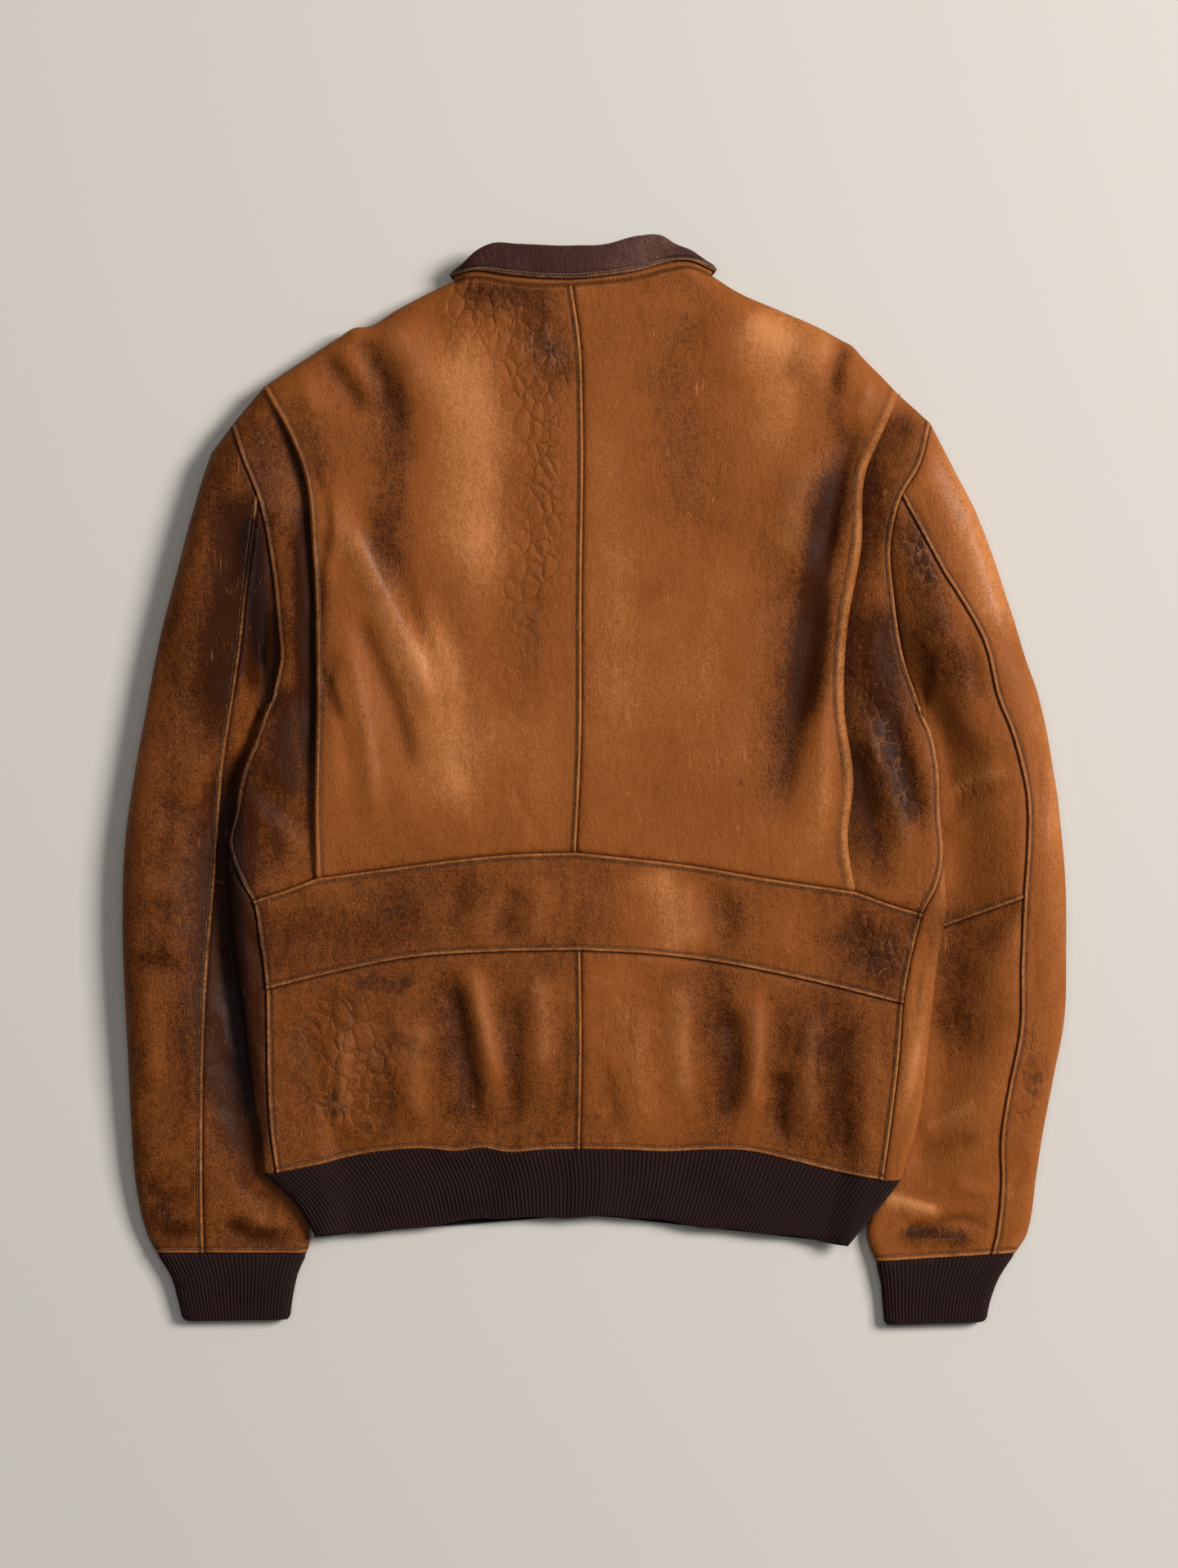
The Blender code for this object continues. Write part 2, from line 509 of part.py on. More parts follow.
def front(side, neckline, hem):
    """Front from the closing to the armhole and the side fold, and round it to the side seam."""
    top = join(even(neckline, NECKLINE_COLUMNS), side.shoulder, side.end)
    bottom = walk(hem, FRONT_SHARES)
    fold = side.fold_line
    armhole = side.armhole(side.down_shares)[:-1]
    armhole[:, 0] -= side.sign * notch(side, armhole)
    outer = np.concatenate((armhole, fold))
    centre_x = ZIP_X + side.sign * ZIP_HALF
    centre_y = top[0, 1] + shares_of(outer) * (bottom[0, 1] - top[0, 1])
    centre = np.stack((np.full_like(centre_y, centre_x), centre_y), -1)
    flat = raised(patch(top, bottom, centre, outer), lower)
    seam = side.side[:, [2, 0]]
    across = np.array(WRAP_SHARES)[None, :, None]
    wrap = raised((1 - across) * fold[:, None] + across * seam[:, None], upper)
    flat[0] += SEAM_GAP / 2 * unit(flat[1] - flat[0])
    flat[-1] += SEAM_GAP / 2 * unit(flat[-2] - flat[-1])
    flat[:-len(fold), -1] += SEAM_GAP / 2 * unit(flat[:-len(fold), -2] - flat[:-len(fold), -1])
    wrap[-1] += SEAM_GAP / 2 * unit(wrap[-2] - wrap[-1])
    wrap[:, -1] += SIDE_GAP / 2 * unit(wrap[:, -2] - wrap[:, -1])
    wrap[:, 0] = flat[-len(fold):, -1]
    return lipped(flat, lower, -1), wrap


def sleeve_heights(side, ring, plan):
    """Upper and lower height of a sleeve section at points of its plan line."""
    outer_x, outer_y, inner_x, inner_y, loft, seam, high, low, tuck = side.sleeve[ring]
    x, y = plan[:, 0], plan[:, 1]
    share = shares_of(plan)
    level = tuck + (loft - tuck) * (1 - ease((share - high) / (low - high)))
    half = np.where(share < 0.5, loft, tuck) / 2
    edge = np.minimum(distance(side.outer_line, x, y) / (loft * FOLD_SHAPE),
                      distance(side.inner_line, x, y) / (tuck * FOLD_SHAPE))
    rounded = dome(edge)
    return half + (level - half) * rounded, half - half * rounded


def fold_places(side, ring, count):
    """Shares along a sleeve section where its folded outer and inner edges need points."""
    fine = np.linspace(0, 1, 401)[:, None]
    row = side.sleeve[ring]
    plan = (1 - fine) * row[0:2] + fine * row[2:4]
    outer = distance(side.outer_line, plan[:, 0], plan[:, 1])[:200]
    inner = distance(side.inner_line, plan[:, 0], plan[:, 1])[200:][::-1]
    turn = 1 - np.cos(np.linspace(0, math.pi / 2, count + 1))
    first = np.interp(turn * row[4] * FOLD_SHAPE, np.maximum.accumulate(outer), fine[:200, 0])
    last = np.interp(turn * row[8] * FOLD_SHAPE, np.maximum.accumulate(inner), fine[:201, 0])
    return first, 1 - last[::-1]


def sleeve_ring(side, ring):
    """One section as a loop of points: outer fold to inner fold above, then below."""
    row = side.sleeve[ring]
    outer_places, inner_places = fold_places(side, ring, 3)
    seam = row[5]
    top = np.concatenate((outer_places, np.linspace(outer_places[-1], seam - SEAM_STRIP, 4)[1:],
                          (seam,)))
    under = np.concatenate(((seam,), np.linspace(seam + SEAM_STRIP, inner_places[0], 4),
                            inner_places[1:]))
    down = np.concatenate((outer_places, np.linspace(outer_places[-1], UNDERARM_SHARE, 4)[1:],
                           inner_places[1:]))
    shares = np.concatenate((top, under[1:]))
    above = (1 - shares[:, None]) * row[0:2] + shares[:, None] * row[2:4]
    below = (1 - down[:, None]) * row[0:2] + down[:, None] * row[2:4]
    top_z = sleeve_heights(side, ring, above)[0]
    low_z = sleeve_heights(side, ring, below)[1]
    return (np.column_stack((above, top_z)), np.column_stack((below, low_z)))


def armhole_ring(side):
    """The sleeve's first section, which follows the armhole of the body."""
    above = side.armhole(side.top_shares)
    below = side.armhole(side.down_shares)
    body = np.minimum(upper(above[:, 0], above[:, 1]), table_value(side.edge, side.top_shares))
    sag = ARMPIT_SAG * ease((side.top_shares - 0.6) / 0.4)
    low = lower(below[:, 0], below[:, 1]) * (side.down_shares < 0.5)
    low += 3.5 * ease((side.down_shares - 0.85) / 0.15)
    return np.column_stack((above, body - sag)), np.column_stack((below, low))


def sleeve_loops(side):
    rings = [armhole_ring(side)] + [sleeve_ring(side, ring) for ring in range(len(side.sleeve))]
    above = np.array([ring[0] for ring in rings])
    below = np.array([ring[1] for ring in rings])
    for layer in (above, below):
        layer[0, :, :2] += ARMHOLE_GAP * unit(layer[1, :, :2] - layer[0, :, :2])
        layer[0, :, 0] += side.sign * notch(side, layer[0, :, :2])
    return above, below


def top_sleeve(side):
    """From the back seam out over the fold and on along the lower side to the front seam."""
    above, below = sleeve_loops(side)
    grid = np.concatenate((above[:, :len(TOP_STEPS)][:, ::-1], below[:, 1:DOWN_TO_SEAM + 1]), axis=1)
    grid[:, (0, -1), 0] += side.sign * 0.8 * SEAM_GAP
    return drawn_in(grid, (0, SEAM_GAP / 2, 0, 0))


def under_sleeve(side, first, last):
    """From the back seam in over the tucked edge to the front seam, between two sections."""
    above, below = sleeve_loops(side)
    grid = np.concatenate((above[:, len(TOP_STEPS) - 1:], below[:, DOWN_TO_SEAM:-1][:, ::-1]), axis=1)
    grid[:, (0, -1), 0] -= side.sign * 0.8 * SEAM_GAP
    return drawn_in(grid[first:last], (0.8 * SEAM_GAP if first else 0, 0.8 * SEAM_GAP, 0, 0))


def cuff(table):
    """Knitted cuff as closed flat rings."""
    turn = np.linspace(math.pi / 2, -math.pi / 2, 5)
    rings = []
    for left_x, left_y, right_x, right_y, height in table:
        half = height / 2
        reach = height * FOLD_SHAPE / abs(right_x - left_x)
        right = [(1 - reach + reach * math.cos(a), half + half * math.sin(a)) for a in turn]
        left = [(reach - reach * math.cos(a), half + half * math.sin(a)) for a in turn[::-1]]
        middle = [(share, height) for share in (0.35, 0.65)]
        floor = [(share, 0.0) for share in (0.65, 0.35)]
        loop = middle + right + floor + left
        rings.append([(left_x + s * (right_x - left_x), left_y + s * (right_y - left_y), z)
                      for s, z in loop])
    grid = np.array(rings)
    grid[0] += SEAM_GAP / 2 * unit(grid[1] - grid[0])
    return np.concatenate((grid, grid[:, :1]), axis=1)


def hem_band():
    """Knitted hem: one layer under the back's hem, two under the fronts', joined at the folds."""
    hem = np.array(HEM_BAND, float)
    wraps = []
    for side in SIDES:
        across = np.array(WRAP_SHARES)[:, None]
        wraps.append((1 - across) * side.side[-1, [1, 0]] + across * side.side[-1, [2, 0]])
    top = join(wraps[0], even(HEM_LEFT, LOWER_COLUMNS)[::-1], even(HEM_RIGHT, LOWER_COLUMNS),
               wraps[1][::-1])
    rows = len(HEM_BAND)
    shares = shares_of(top)
    edge = hem[-1]
    end = walk((edge[[0, 1]], (-9.0, edge[2]), edge[[3, 4]]), shares)
    left = np.concatenate((top[:1], hem[1:, [0, 1]]))
    right = np.concatenate((top[-1:], hem[1:, [3, 4]]))
    upper_layer = raised(patch(top, end, left, right), upper)
    layers = [upper_layer]
    for side, fold, seam in ((LEFT, left, FRONT_HEM_LEFT), (RIGHT, right, FRONT_HEM_RIGHT)):
        first = walk(seam, FRONT_SHARES)
        centre = np.array((ZIP_X + side.sign * ZIP_HALF, edge[2]))
        last = walk((centre, fold[-1]), FRONT_SHARES)
        start = np.linspace(first[0], last[0], rows)
        layer = raised(patch(first, last, start, fold), lower)
        layer[:, -1] = upper_layer[:, 0 if side is LEFT else -1]
        layers.append(layer)
    for layer in layers:
        to_fold = np.minimum(distance(LEFT.fold_line, *layer[0, :, :2].T),
                             distance(RIGHT.fold_line, *layer[0, :, :2].T))
        layer[0, :, 1] -= SEAM_GAP / 2 + HEM_FOLD_GAP * np.exp(-(to_fold / 10) ** 2)
    return layers


def sweep_round_neck(section):
    """A band swept round the neck seam: rows of (out from the seam, up from the seam)."""
    rows = []
    for x, leaf, crest, turn in COLLAR:
        seam = NECK_SEAM if turn < 100 else NECKLINE
        y = float(np.interp(x, seam[:, 0], seam[:, 1]))
        place = (np.array([float(x)]), np.array([y]))
        high, deep = float(upper(*place)[0]), float(lower(*place)[0])
        angle = math.radians(turn)
        base = (high + deep) / 2 + (high - deep) / 2 * math.cos(angle)
        outward = math.sin(angle) * math.copysign(1, x)
        rows.append([(x + out * outward, y + up, base + out * math.cos(angle))
                     for out, up in section(leaf, crest)])
    return np.array(rows)


def stand_section(leaf, crest):
    top = crest - LEAF_TURN + 0.6
    return ((0, 3 * SEAM_GAP), (0, 0.5 * top), (0, top))


def leaf_section(leaf, crest):
    centre_out = LEAF_RISE - LEAF_TURN
    centre_up = crest - LEAF_TURN
    turn = [math.radians(angle) for angle in (90, 30, -30, -90)]
    crest_points = [(centre_out + LEAF_TURN * math.sin(a), centre_up + LEAF_TURN * math.cos(a))
                    for a in turn]
    inside = max(crest - 11, 1.5)
    return [(LEAF_RISE, leaf), (LEAF_RISE, (leaf + centre_up) / 2)] + crest_points + [
        (centre_out - LEAF_TURN, min(inside, centre_up - 0.8))]


def material(name, colour, roughness, metallic=0.0):
    result = bpy.data.materials.new(name)
    result.use_nodes = True
    surface = result.node_tree.nodes["Principled BSDF"]
    surface.inputs["Base Color"].default_value = (*colour, 1)
    surface.inputs["Roughness"].default_value = roughness
    surface.inputs["Metallic"].default_value = metallic
    return result


def cloth(name, grids, inside, wall, colour, roughness):
    """A panel: an open surface of welded grids, thickened to the inside."""
    work = bmesh.new()
    for grid in grids:
        points = [[work.verts.new([c * MM for c in point]) for point in row] for row in grid]
        for upper_row, lower_row in zip(points, points[1:]):
            for i in range(len(upper_row) - 1):
                work.faces.new((upper_row[i], upper_row[i + 1], lower_row[i + 1], lower_row[i]))
    bmesh.ops.remove_doubles(work, verts=work.verts, dist=2e-6)
    bmesh.ops.recalc_face_normals(work, faces=work.faces)
    centre = np.array(inside) * MM
    outward = sum(face.normal.dot(face.calc_center_median() - type(face.normal)(centre))
                  * face.calc_area() for face in work.faces)
    if outward < 0:
        bmesh.ops.reverse_faces(work, faces=work.faces)
    mesh = bpy.data.meshes.new(name)
    work.to_mesh(mesh)
    work.free()
    mesh.materials.append(material(name, colour, roughness))
    thing = bpy.data.objects.new(name, mesh)
    bpy.data.collections[COLLECTION].objects.link(thing)
    thicken = thing.modifiers.new("wall", "SOLIDIFY")
    thicken.thickness = wall * MM
    thicken.offset = -1
    return thing


def block(name, low, high, bevel=0.0):
    """A box between two corners, in its place."""
    low, high = np.array(low) * MM, np.array(high) * MM
    bpy.ops.mesh.primitive_cube_add(size=1, location=tuple((low + high) / 2))
    thing = bpy.context.object
    thing.name = name
    thing.scale = tuple(high - low)
    bpy.ops.object.transform_apply(location=False, rotation=False, scale=True)
    if bevel:
        edge = thing.modifiers.new("edges", "BEVEL")
        edge.width = bevel * MM
        edge.segments = 1
    return thing


def move_to(thing, collection):
    for old in list(thing.users_collection):
        old.objects.unlink(thing)
    bpy.data.collections[collection].objects.link(thing)


def add_zip():
    x = ZIP_X
    chain = block("zip_chain", (x - CHAIN_HALF, ZIP_BOTTOM, CHAIN_Z[0]),
                  (x + CHAIN_HALF, ZIP_TOP, CHAIN_Z[1]))
    chain.data.materials.append(material("zip_chain", BRASS, 0.45, 1.0))
    move_to(chain, COLLECTION)

    start = ZIP_TOP + SEAM_GAP
    pin_y = start + PIN_FROM_END
    slider = block("zip_slider", (x - CHAIN_HALF, start, SLIDER_Z[0]),
                   (x + CHAIN_HALF, start + SLIDER_LENGTH, SLIDER_Z[1]), SLIDER_BEVEL)
    slider.data.materials.append(material("zip_slider", BRASS, 0.4, 1.0))
    move_to(slider, COLLECTION)
    added = []
    for number, sign in enumerate((-1, 1)):
        ends = sorted((x + sign * LUG_INSIDE, x + sign * (CHAIN_HALF - 0.1)))
        added.append(block(f"lug_{number}", (ends[0], pin_y - LUG_HALF, PIN_Z - LUG_BELOW_PIN),
                           (ends[1], pin_y + LUG_HALF, SLIDER_Z[0] + 1)))
    bpy.ops.mesh.primitive_cylinder_add(
        vertices=12, radius=PIN_RADIUS * MM, depth=2 * (LUG_INSIDE + 0.5) * MM,
        location=(x * MM, pin_y * MM, PIN_Z * MM), rotation=(0, math.pi / 2, 0))
    added.append(bpy.context.object)
    added[-1].name = "pin"
    for extra in added:
        move_to(extra, "cutters")
        extra.hide_render = True
        extra.display_type = "WIRE"
        union = slider.modifiers.new(extra.name, "BOOLEAN")
        union.operation = "UNION"
        union.object = extra
    add_pull(pin_y)


def add_pull(pin_y):
    """Tab with a round eye: a flat outline extruded across the closing, hung on the pin."""
    meet = math.asin(TAB_HALF_WALL / EYE_RADIUS)
    eye = [(EYE_RADIUS * math.cos(a), EYE_RADIUS * math.sin(a))
           for a in np.linspace(meet, 2 * math.pi - meet, 13)]
    outer = [(TAB_LENGTH, TAB_HALF_WALL)] + eye + [(TAB_LENGTH, -TAB_HALF_WALL)]
    hole = [(EYE_HOLE * math.cos(a), EYE_HOLE * math.sin(a))
            for a in np.linspace(0, 2 * math.pi, 13)[:-1]]
    curve = bpy.data.curves.new("zip_pull", "CURVE")
    curve.dimensions = "2D"
    curve.fill_mode = "BOTH"
    curve.extrude = TAB_HALF_WIDTH * MM
    for points in (outer, hole):
        line = curve.splines.new("POLY")
        line.points.add(len(points) - 1)
        line.use_cyclic_u = True
        for point, (px, py) in zip(line.points, points):
            point.co = (px * MM, py * MM, 0, 1)
    pull = bpy.data.objects.new("zip_pull", curve)
    pull.location = (ZIP_X * MM, pin_y * MM, PIN_Z * MM)
    pull.rotation_euler = (math.pi / 2, 0, -math.pi / 2)
    curve.materials.append(material("zip_pull", BRASS, 0.4, 1.0))
    bpy.data.collections[COLLECTION].objects.link(pull)


def build():
    for thing in list(bpy.data.objects):
        bpy.data.objects.remove(thing, do_unlink=True)
    for name in (COLLECTION, "cutters"):
        bpy.context.scene.collection.children.link(bpy.data.collections.new(name))

    body_inside = (-4, 40, 12)
    seams = {"left": (NECK_LEFT, NECKLINE_LEFT, BELT_BOTTOM_LEFT, HEM_LEFT, FRONT_HEM_LEFT),
             "right": (NECK_RIGHT, NECKLINE_RIGHT, BELT_BOTTOM_RIGHT, HEM_RIGHT, FRONT_HEM_RIGHT)}
    for side in SIDES:
        neck, neckline, belt_seam, hem, front_hem = seams[side.name]
        name = side.name
        cloth(f"back_{name}", [back_panel(side, neck)], body_inside, LEATHER, TAN, 0.5)
        cloth(f"gusset_{name}", [gusset(side)], body_inside, LEATHER, BROWN, 0.55)
        cloth(f"lower_back_{name}", [lower_back(side, belt_seam, hem)], body_inside,
              LEATHER, TAN, 0.5)
        cloth(f"front_{name}", front(side, neckline, front_hem), body_inside,
              LEATHER, BROWN, 0.5)
        sleeve_inside = (side.sign * 268, -60, 8)
        cloth(f"top_sleeve_{name}", [top_sleeve(side)], sleeve_inside, LEATHER, TAN, 0.5)
        last = len(side.sleeve) + 1
        cloth(f"under_sleeve_upper_{name}", [under_sleeve(side, 0, side.elbow + 1)],
              sleeve_inside, LEATHER, BROWN, 0.5)
        cloth(f"under_sleeve_lower_{name}", [under_sleeve(side, side.elbow, last)],
              sleeve_inside, LEATHER, BROWN, 0.5)
        cuff_table = CUFF_LEFT if side is LEFT else CUFF_RIGHT
        cloth(f"cuff_{name}", [cuff(cuff_table)], (side.sign * 245, -350, 6), KNIT, MAROON, 0.9)
    cloth("waist_belt", [belt()], body_inside, LEATHER, TAN, 0.5)
    cloth("hem_band", hem_band(), (-4, -285, 8), KNIT, MAROON, 0.9)
    cloth("neck_stand", [sweep_round_neck(stand_section)], (-8, 330, 12), LEATHER, TAN, 0.5)
    cloth("collar_leaf", [sweep_round_neck(leaf_section)], (-8, 340, 12), LEATHER, DARK_BROWN, 0.5)
    add_zip()


build()
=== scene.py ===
# %% [markdown]
# # A worn leather jacket
#
# This lesson builds the looks of a short leather jacket with a knitted hem and knitted cuffs.
# It lies on its front, so the back faces up. A jacket is a set of flat panels sewn edge to edge.
# Each panel here is one sheet of points that follows the curves of its seams. Ridges, grooves
# and creases are pushed into the sheet, and a thin wall is added behind it.
# The first cell loads the fixed model that every piece belongs to.

# %% Load the frame
import json
import math

import bmesh
import bpy
import numpy as np
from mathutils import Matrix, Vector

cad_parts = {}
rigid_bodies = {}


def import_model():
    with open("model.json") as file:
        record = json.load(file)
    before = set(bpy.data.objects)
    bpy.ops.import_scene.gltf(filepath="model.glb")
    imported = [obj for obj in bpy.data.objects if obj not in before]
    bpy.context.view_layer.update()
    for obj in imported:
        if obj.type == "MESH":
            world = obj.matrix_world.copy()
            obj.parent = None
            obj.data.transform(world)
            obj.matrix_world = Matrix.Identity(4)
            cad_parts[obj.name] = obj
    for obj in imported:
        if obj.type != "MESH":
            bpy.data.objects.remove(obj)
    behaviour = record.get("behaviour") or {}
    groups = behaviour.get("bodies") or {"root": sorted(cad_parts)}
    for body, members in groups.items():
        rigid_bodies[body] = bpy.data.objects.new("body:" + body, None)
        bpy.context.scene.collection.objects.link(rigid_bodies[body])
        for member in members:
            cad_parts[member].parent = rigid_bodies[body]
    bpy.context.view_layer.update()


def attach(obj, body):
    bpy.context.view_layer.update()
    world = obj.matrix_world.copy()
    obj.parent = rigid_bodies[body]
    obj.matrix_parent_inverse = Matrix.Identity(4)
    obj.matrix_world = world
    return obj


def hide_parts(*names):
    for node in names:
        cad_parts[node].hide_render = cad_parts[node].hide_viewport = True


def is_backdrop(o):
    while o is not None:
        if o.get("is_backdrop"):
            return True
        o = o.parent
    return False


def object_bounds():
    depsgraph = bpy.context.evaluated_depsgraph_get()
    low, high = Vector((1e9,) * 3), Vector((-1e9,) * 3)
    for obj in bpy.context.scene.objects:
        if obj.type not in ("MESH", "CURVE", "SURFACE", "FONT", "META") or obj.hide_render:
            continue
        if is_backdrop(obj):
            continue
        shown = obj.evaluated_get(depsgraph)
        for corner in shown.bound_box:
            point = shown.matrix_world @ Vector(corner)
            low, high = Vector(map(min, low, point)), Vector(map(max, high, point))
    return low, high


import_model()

MM = 0.001

# %% [markdown]
# ## The cut of the jacket
#
# A pattern cutter draws seams as curves on paper. These tables do the same, in millimetres.
# X runs across the back, Y from the hem up to the collar, and Z up from the floor. Each seam is
# a short row of points with a smooth curve through them, so two panels that share a seam read
# the same curve and always meet.

# %% Seams across the body: (x, y)
neck = {"left": ((-15.5, 342.7), (-37, 342.6), (-60, 344.6), (-83, 348.0), (-97, 346.0)),
        "right": ((-15.5, 342.7), (8, 344.6), (31, 347.6), (51, 353), (66, 355), (81, 350))}
shoulder = {"left": ((-97, 346), (-112, 339), (-139, 324.7), (-157, 314.3), (-165, 314),
                     (-177, 306.8), (-195, 295), (-212, 284), (-229, 272.4)),
            "right": ((81, 350), (98, 339), (130, 325), (158, 312.4), (172, 304.5), (177, 302),
                      (186, 292.5), (198, 280.5), (210.4, 267.4))}
shoulder_end = {"left": ((-229, 272.4), (-240, 259.4), (-250.5, 246.5)),
                "right": ((210.4, 267.4), (221, 258), (232.4, 247.5))}
belt_top = {"left": ((-12.7, -49.2), (-56, -50.5), (-99, -54.6), (-142, -60.3), (-192, -67)),
            "right": ((-12.7, -49.2), (20, -52.7), (61, -57.4), (119.6, -67.2), (180, -76.3))}
belt_top_end = {"left": ((-192, -67), (-211.6, -74.7), (-236.3, -82.5)),
                "right": ((180, -76.3), (204, -85), (226.5, -91.6))}
belt_bottom = {"left": ((-9.5, -117), (-67, -118), (-129.5, -122.3), (-181, -132.7),
                        (-227, -144)),
               "right": ((-9.5, -117), (39.6, -119.7), (83, -124.9), (139, -135.9),
                         (213.2, -154))}
hem = {"left": ((-9.9, -255), (-35, -255.4), (-62, -257), (-78, -254.2), (-93, -256.2),
                (-121, -254.6), (-160, -258.3), (-190, -265), (-220, -271)),
       "right": ((-9.9, -255), (18, -255.3), (50, -256.6), (83, -255.3), (104, -256),
                 (137, -263), (168, -270.6), (199.6, -276))}
front_neck = {"left": ((-8.5, 287), (-28, 296), (-56, 314), (-80, 337), (-97, 346)),
              "right": ((0.5, 287), (18, 296), (45, 314), (68, 339), (81, 350))}
front_hem = {"left": ((-8.5, -256), (-80, -256), (-150, -259), (-229, -271)),
             "right": ((0.5, -256), (80, -256), (150, -263), (212, -276))}
centre_seam = ((-15.5, 342.7), (-9.5, 300), (-8, 257), (-8.8, 127), (-9.5, 16), (-12.7, -49.2))
lower_centre_seam = ((-9.5, -117), (-8.8, -178), (-9.9, -255))
zip_x = -4.0
zip_half = 4.5

# %% Pleats, armholes and side seams
# A pleat's row: x, y, width of the rolled edge, depth of the recess beside it
pleat = {"left": ((-229, 272.4, 0.5, 0.0), (-212.7, 243, 3, 5), (-201, 213, 4, 8),
                  (-195, 158, 5, 8), (-192.5, 73, 5, 8), (-193, 16, 5, 8), (-193.5, -23, 4, 6),
                  (-192, -67, 1, 2.6)),
         "right": ((210.4, 267.4, 0.5, 0.0), (199.6, 242, 6, 5), (187.7, 214, 8, 8),
                   (184, 160, 9, 8), (174.7, 106, 8, 8), (172.6, 50, 8, 8), (179, 0, 10, 8),
                   (175, -40, 7, 6), (180, -76.3, 1, 2.6))}
armhole = {"left": ((-250.5, 246.5), (-243, 223), (-231.7, 194), (-224.5, 157), (-219, 107),
                    (-217.6, 85), (-222.5, 60)),
           "right": ((232.4, 247.5), (223.3, 216), (212, 196.7), (204.5, 165), (207, 127.6),
                     (214, 85), (226, 50))}
seam_share = {"left": 0.29, "right": 0.27}
# Height of the body's edge along the armhole: share of the way down, height
armhole_edge = {"left": ((0, 28), (0.2, 27.2), (0.33, 27.2), (0.45, 20), (0.6, 17), (0.85, 16.5),
                         (1, 16)),
                "right": ((0, 28), (0.2, 27.2), (0.33, 27.2), (0.45, 24), (0.65, 20),
                          (0.85, 17.5), (1, 16))}
# A side's row: y, x of the fold, x of the side seam on top
side = {"left": ((60, -222.5, -221.7), (46, -229, -228.2), (27, -235.4, -234.6),
                 (5, -244, -243.2), (-21, -249.5, -248.7), (-43, -254.2, -253.2),
                 (-57, -254, -249.5), (-70, -253.5, -243.6), (-82.5, -253, -236.3),
                 (-110, -250.5, -231.2), (-144, -246, -227), (-178, -242, -226.3),
                 (-215, -236.5, -225.8), (-243, -231, -224), (-271, -229, -220)),
        "right": ((50, 226, 225.2), (35, 233, 232.2), (12, 238, 237.2), (-23, 239.6, 238.8),
                  (-55, 241.6, 240.6), (-72, 242.4, 236.5), (-91.6, 243.2, 226.5),
                  (-110, 239.5, 221.5), (-154, 234, 213.2), (-187, 230.5, 210.8),
                  (-222, 226.5, 207), (-243, 222.3, 204.3), (-276, 212, 199.6))}
print("seams", len(neck) + len(shoulder) + len(belt_top) + len(belt_bottom) + len(hem))

# %% Sections across the sleeves
# A sleeve's row: outer x, y, inner x, y, height, share of the way to the back seam, shares
# between which the top drops to the tucked height, that height
sleeve = {"left": ((-265, 227, -222.5, 50, 28, .58, .60, .80, 9.6),
                   (-275.4, 194.6, -221, 38, 28, .60, .62, .83, 9.6),
                   (-290.5, 138, -219, 16, 28, .60, .60, .82, 9.6),
                   (-301, 97, -218, -4, 27, .59, .54, .77, 9.6),
                   (-310, 50, -217, -26, 27, .57, .42, .67, 9.6),
                   (-319, 0, -216, -55, 26, .57, .30, .61, 9.6),
                   (-325, -45, -215, -90, 26, .565, .28, .60, 9.6),
                   (-326.6, -92, -212, -130, 26, .526, .28, .62, 9.6),
                   (-325.5, -140, -209, -172, 25, .485, .28, .65, 9.6),
                   (-323, -189, -206, -214, 23, .45, .30, .67, 9.6),
                   (-321, -235, -203, -253, 20, .425, .32, .70, 9.6),
                   (-317.5, -281, -200, -288, 16, .395, .40, .84, 9.6),
                   (-311, -311, -197.5, -316, 13, .355, .40, .84, 10),
                   (-303.6, -327, -199.3, -327, 12, .32, .40, .84, 12)),
          "right": ((251, 211.5, 226, 40, 28, .40, .70, .90, 9.6),
                    (266.6, 179.5, 225.5, 28, 28, .355, .66, .88, 9.6),
                    (285, 127.6, 224, 8, 28, .27, .50, .77, 9.6),
                    (298, 86, 222, -14, 27, .27, .40, .73, 9.6),
                    (309, 52, 220, -35, 27, .235, .34, .73, 9.6),
                    (318, 5, 218, -50, 26, .205, .32, .72, 9.6),
                    (322.4, -28, 216, -73, 26, .224, .30, .71, 9.6),
                    (326, -70, 213, -112, 26, .265, .30, .69, 9.6),
                    (326.6, -118, 209, -152, 25, .275, .32, .73, 9.6),
                    (325.5, -163, 206, -192, 24, .267, .34, .74, 9.6),
                    (318, -205, 203, -228, 22, .278, .36, .74, 9.6),
                    (311, -242, 199, -262, 19, .27, .38, .79, 9.6),
                    (306, -275.6, 194, -293, 16, .22, .40, .86, 9.6),
                    (301, -310, 189, -315, 13, .20, .40, .86, 10),
                    (292, -327, 195, -333, 12, .18, .40, .86, 12))}
elbow = {"left": 6, "right": 7}
underarm_share = 0.78
print("sections", len(sleeve["left"]), len(sleeve["right"]))

# %% Cuffs, hem band and collar
# A cuff's row: left x, y, right x, y, height
cuff = {"left": ((-303.3, -328.2, -199.6, -328.6, 12), (-293.5, -344, -205.5, -342, 12),
                 (-289, -360, -209, -358, 11), (-285.5, -374.5, -211, -373.5, 10.5)),
        "right": ((195.3, -334.4, 291.7, -328.2, 12), (198.5, -350, 281, -344, 12),
                  (199.8, -363, 275, -360, 11), (201, -377.2, 272, -375.2, 10.5))}
# The hem band's row: left x, y, middle y, right x, y
hem_band = ((-228.0, -272.0, -256, 210.5, -277.5), (-206, -293, -278, 195, -298),
            (-192.8, -315.5, -301.5, 176, -321))
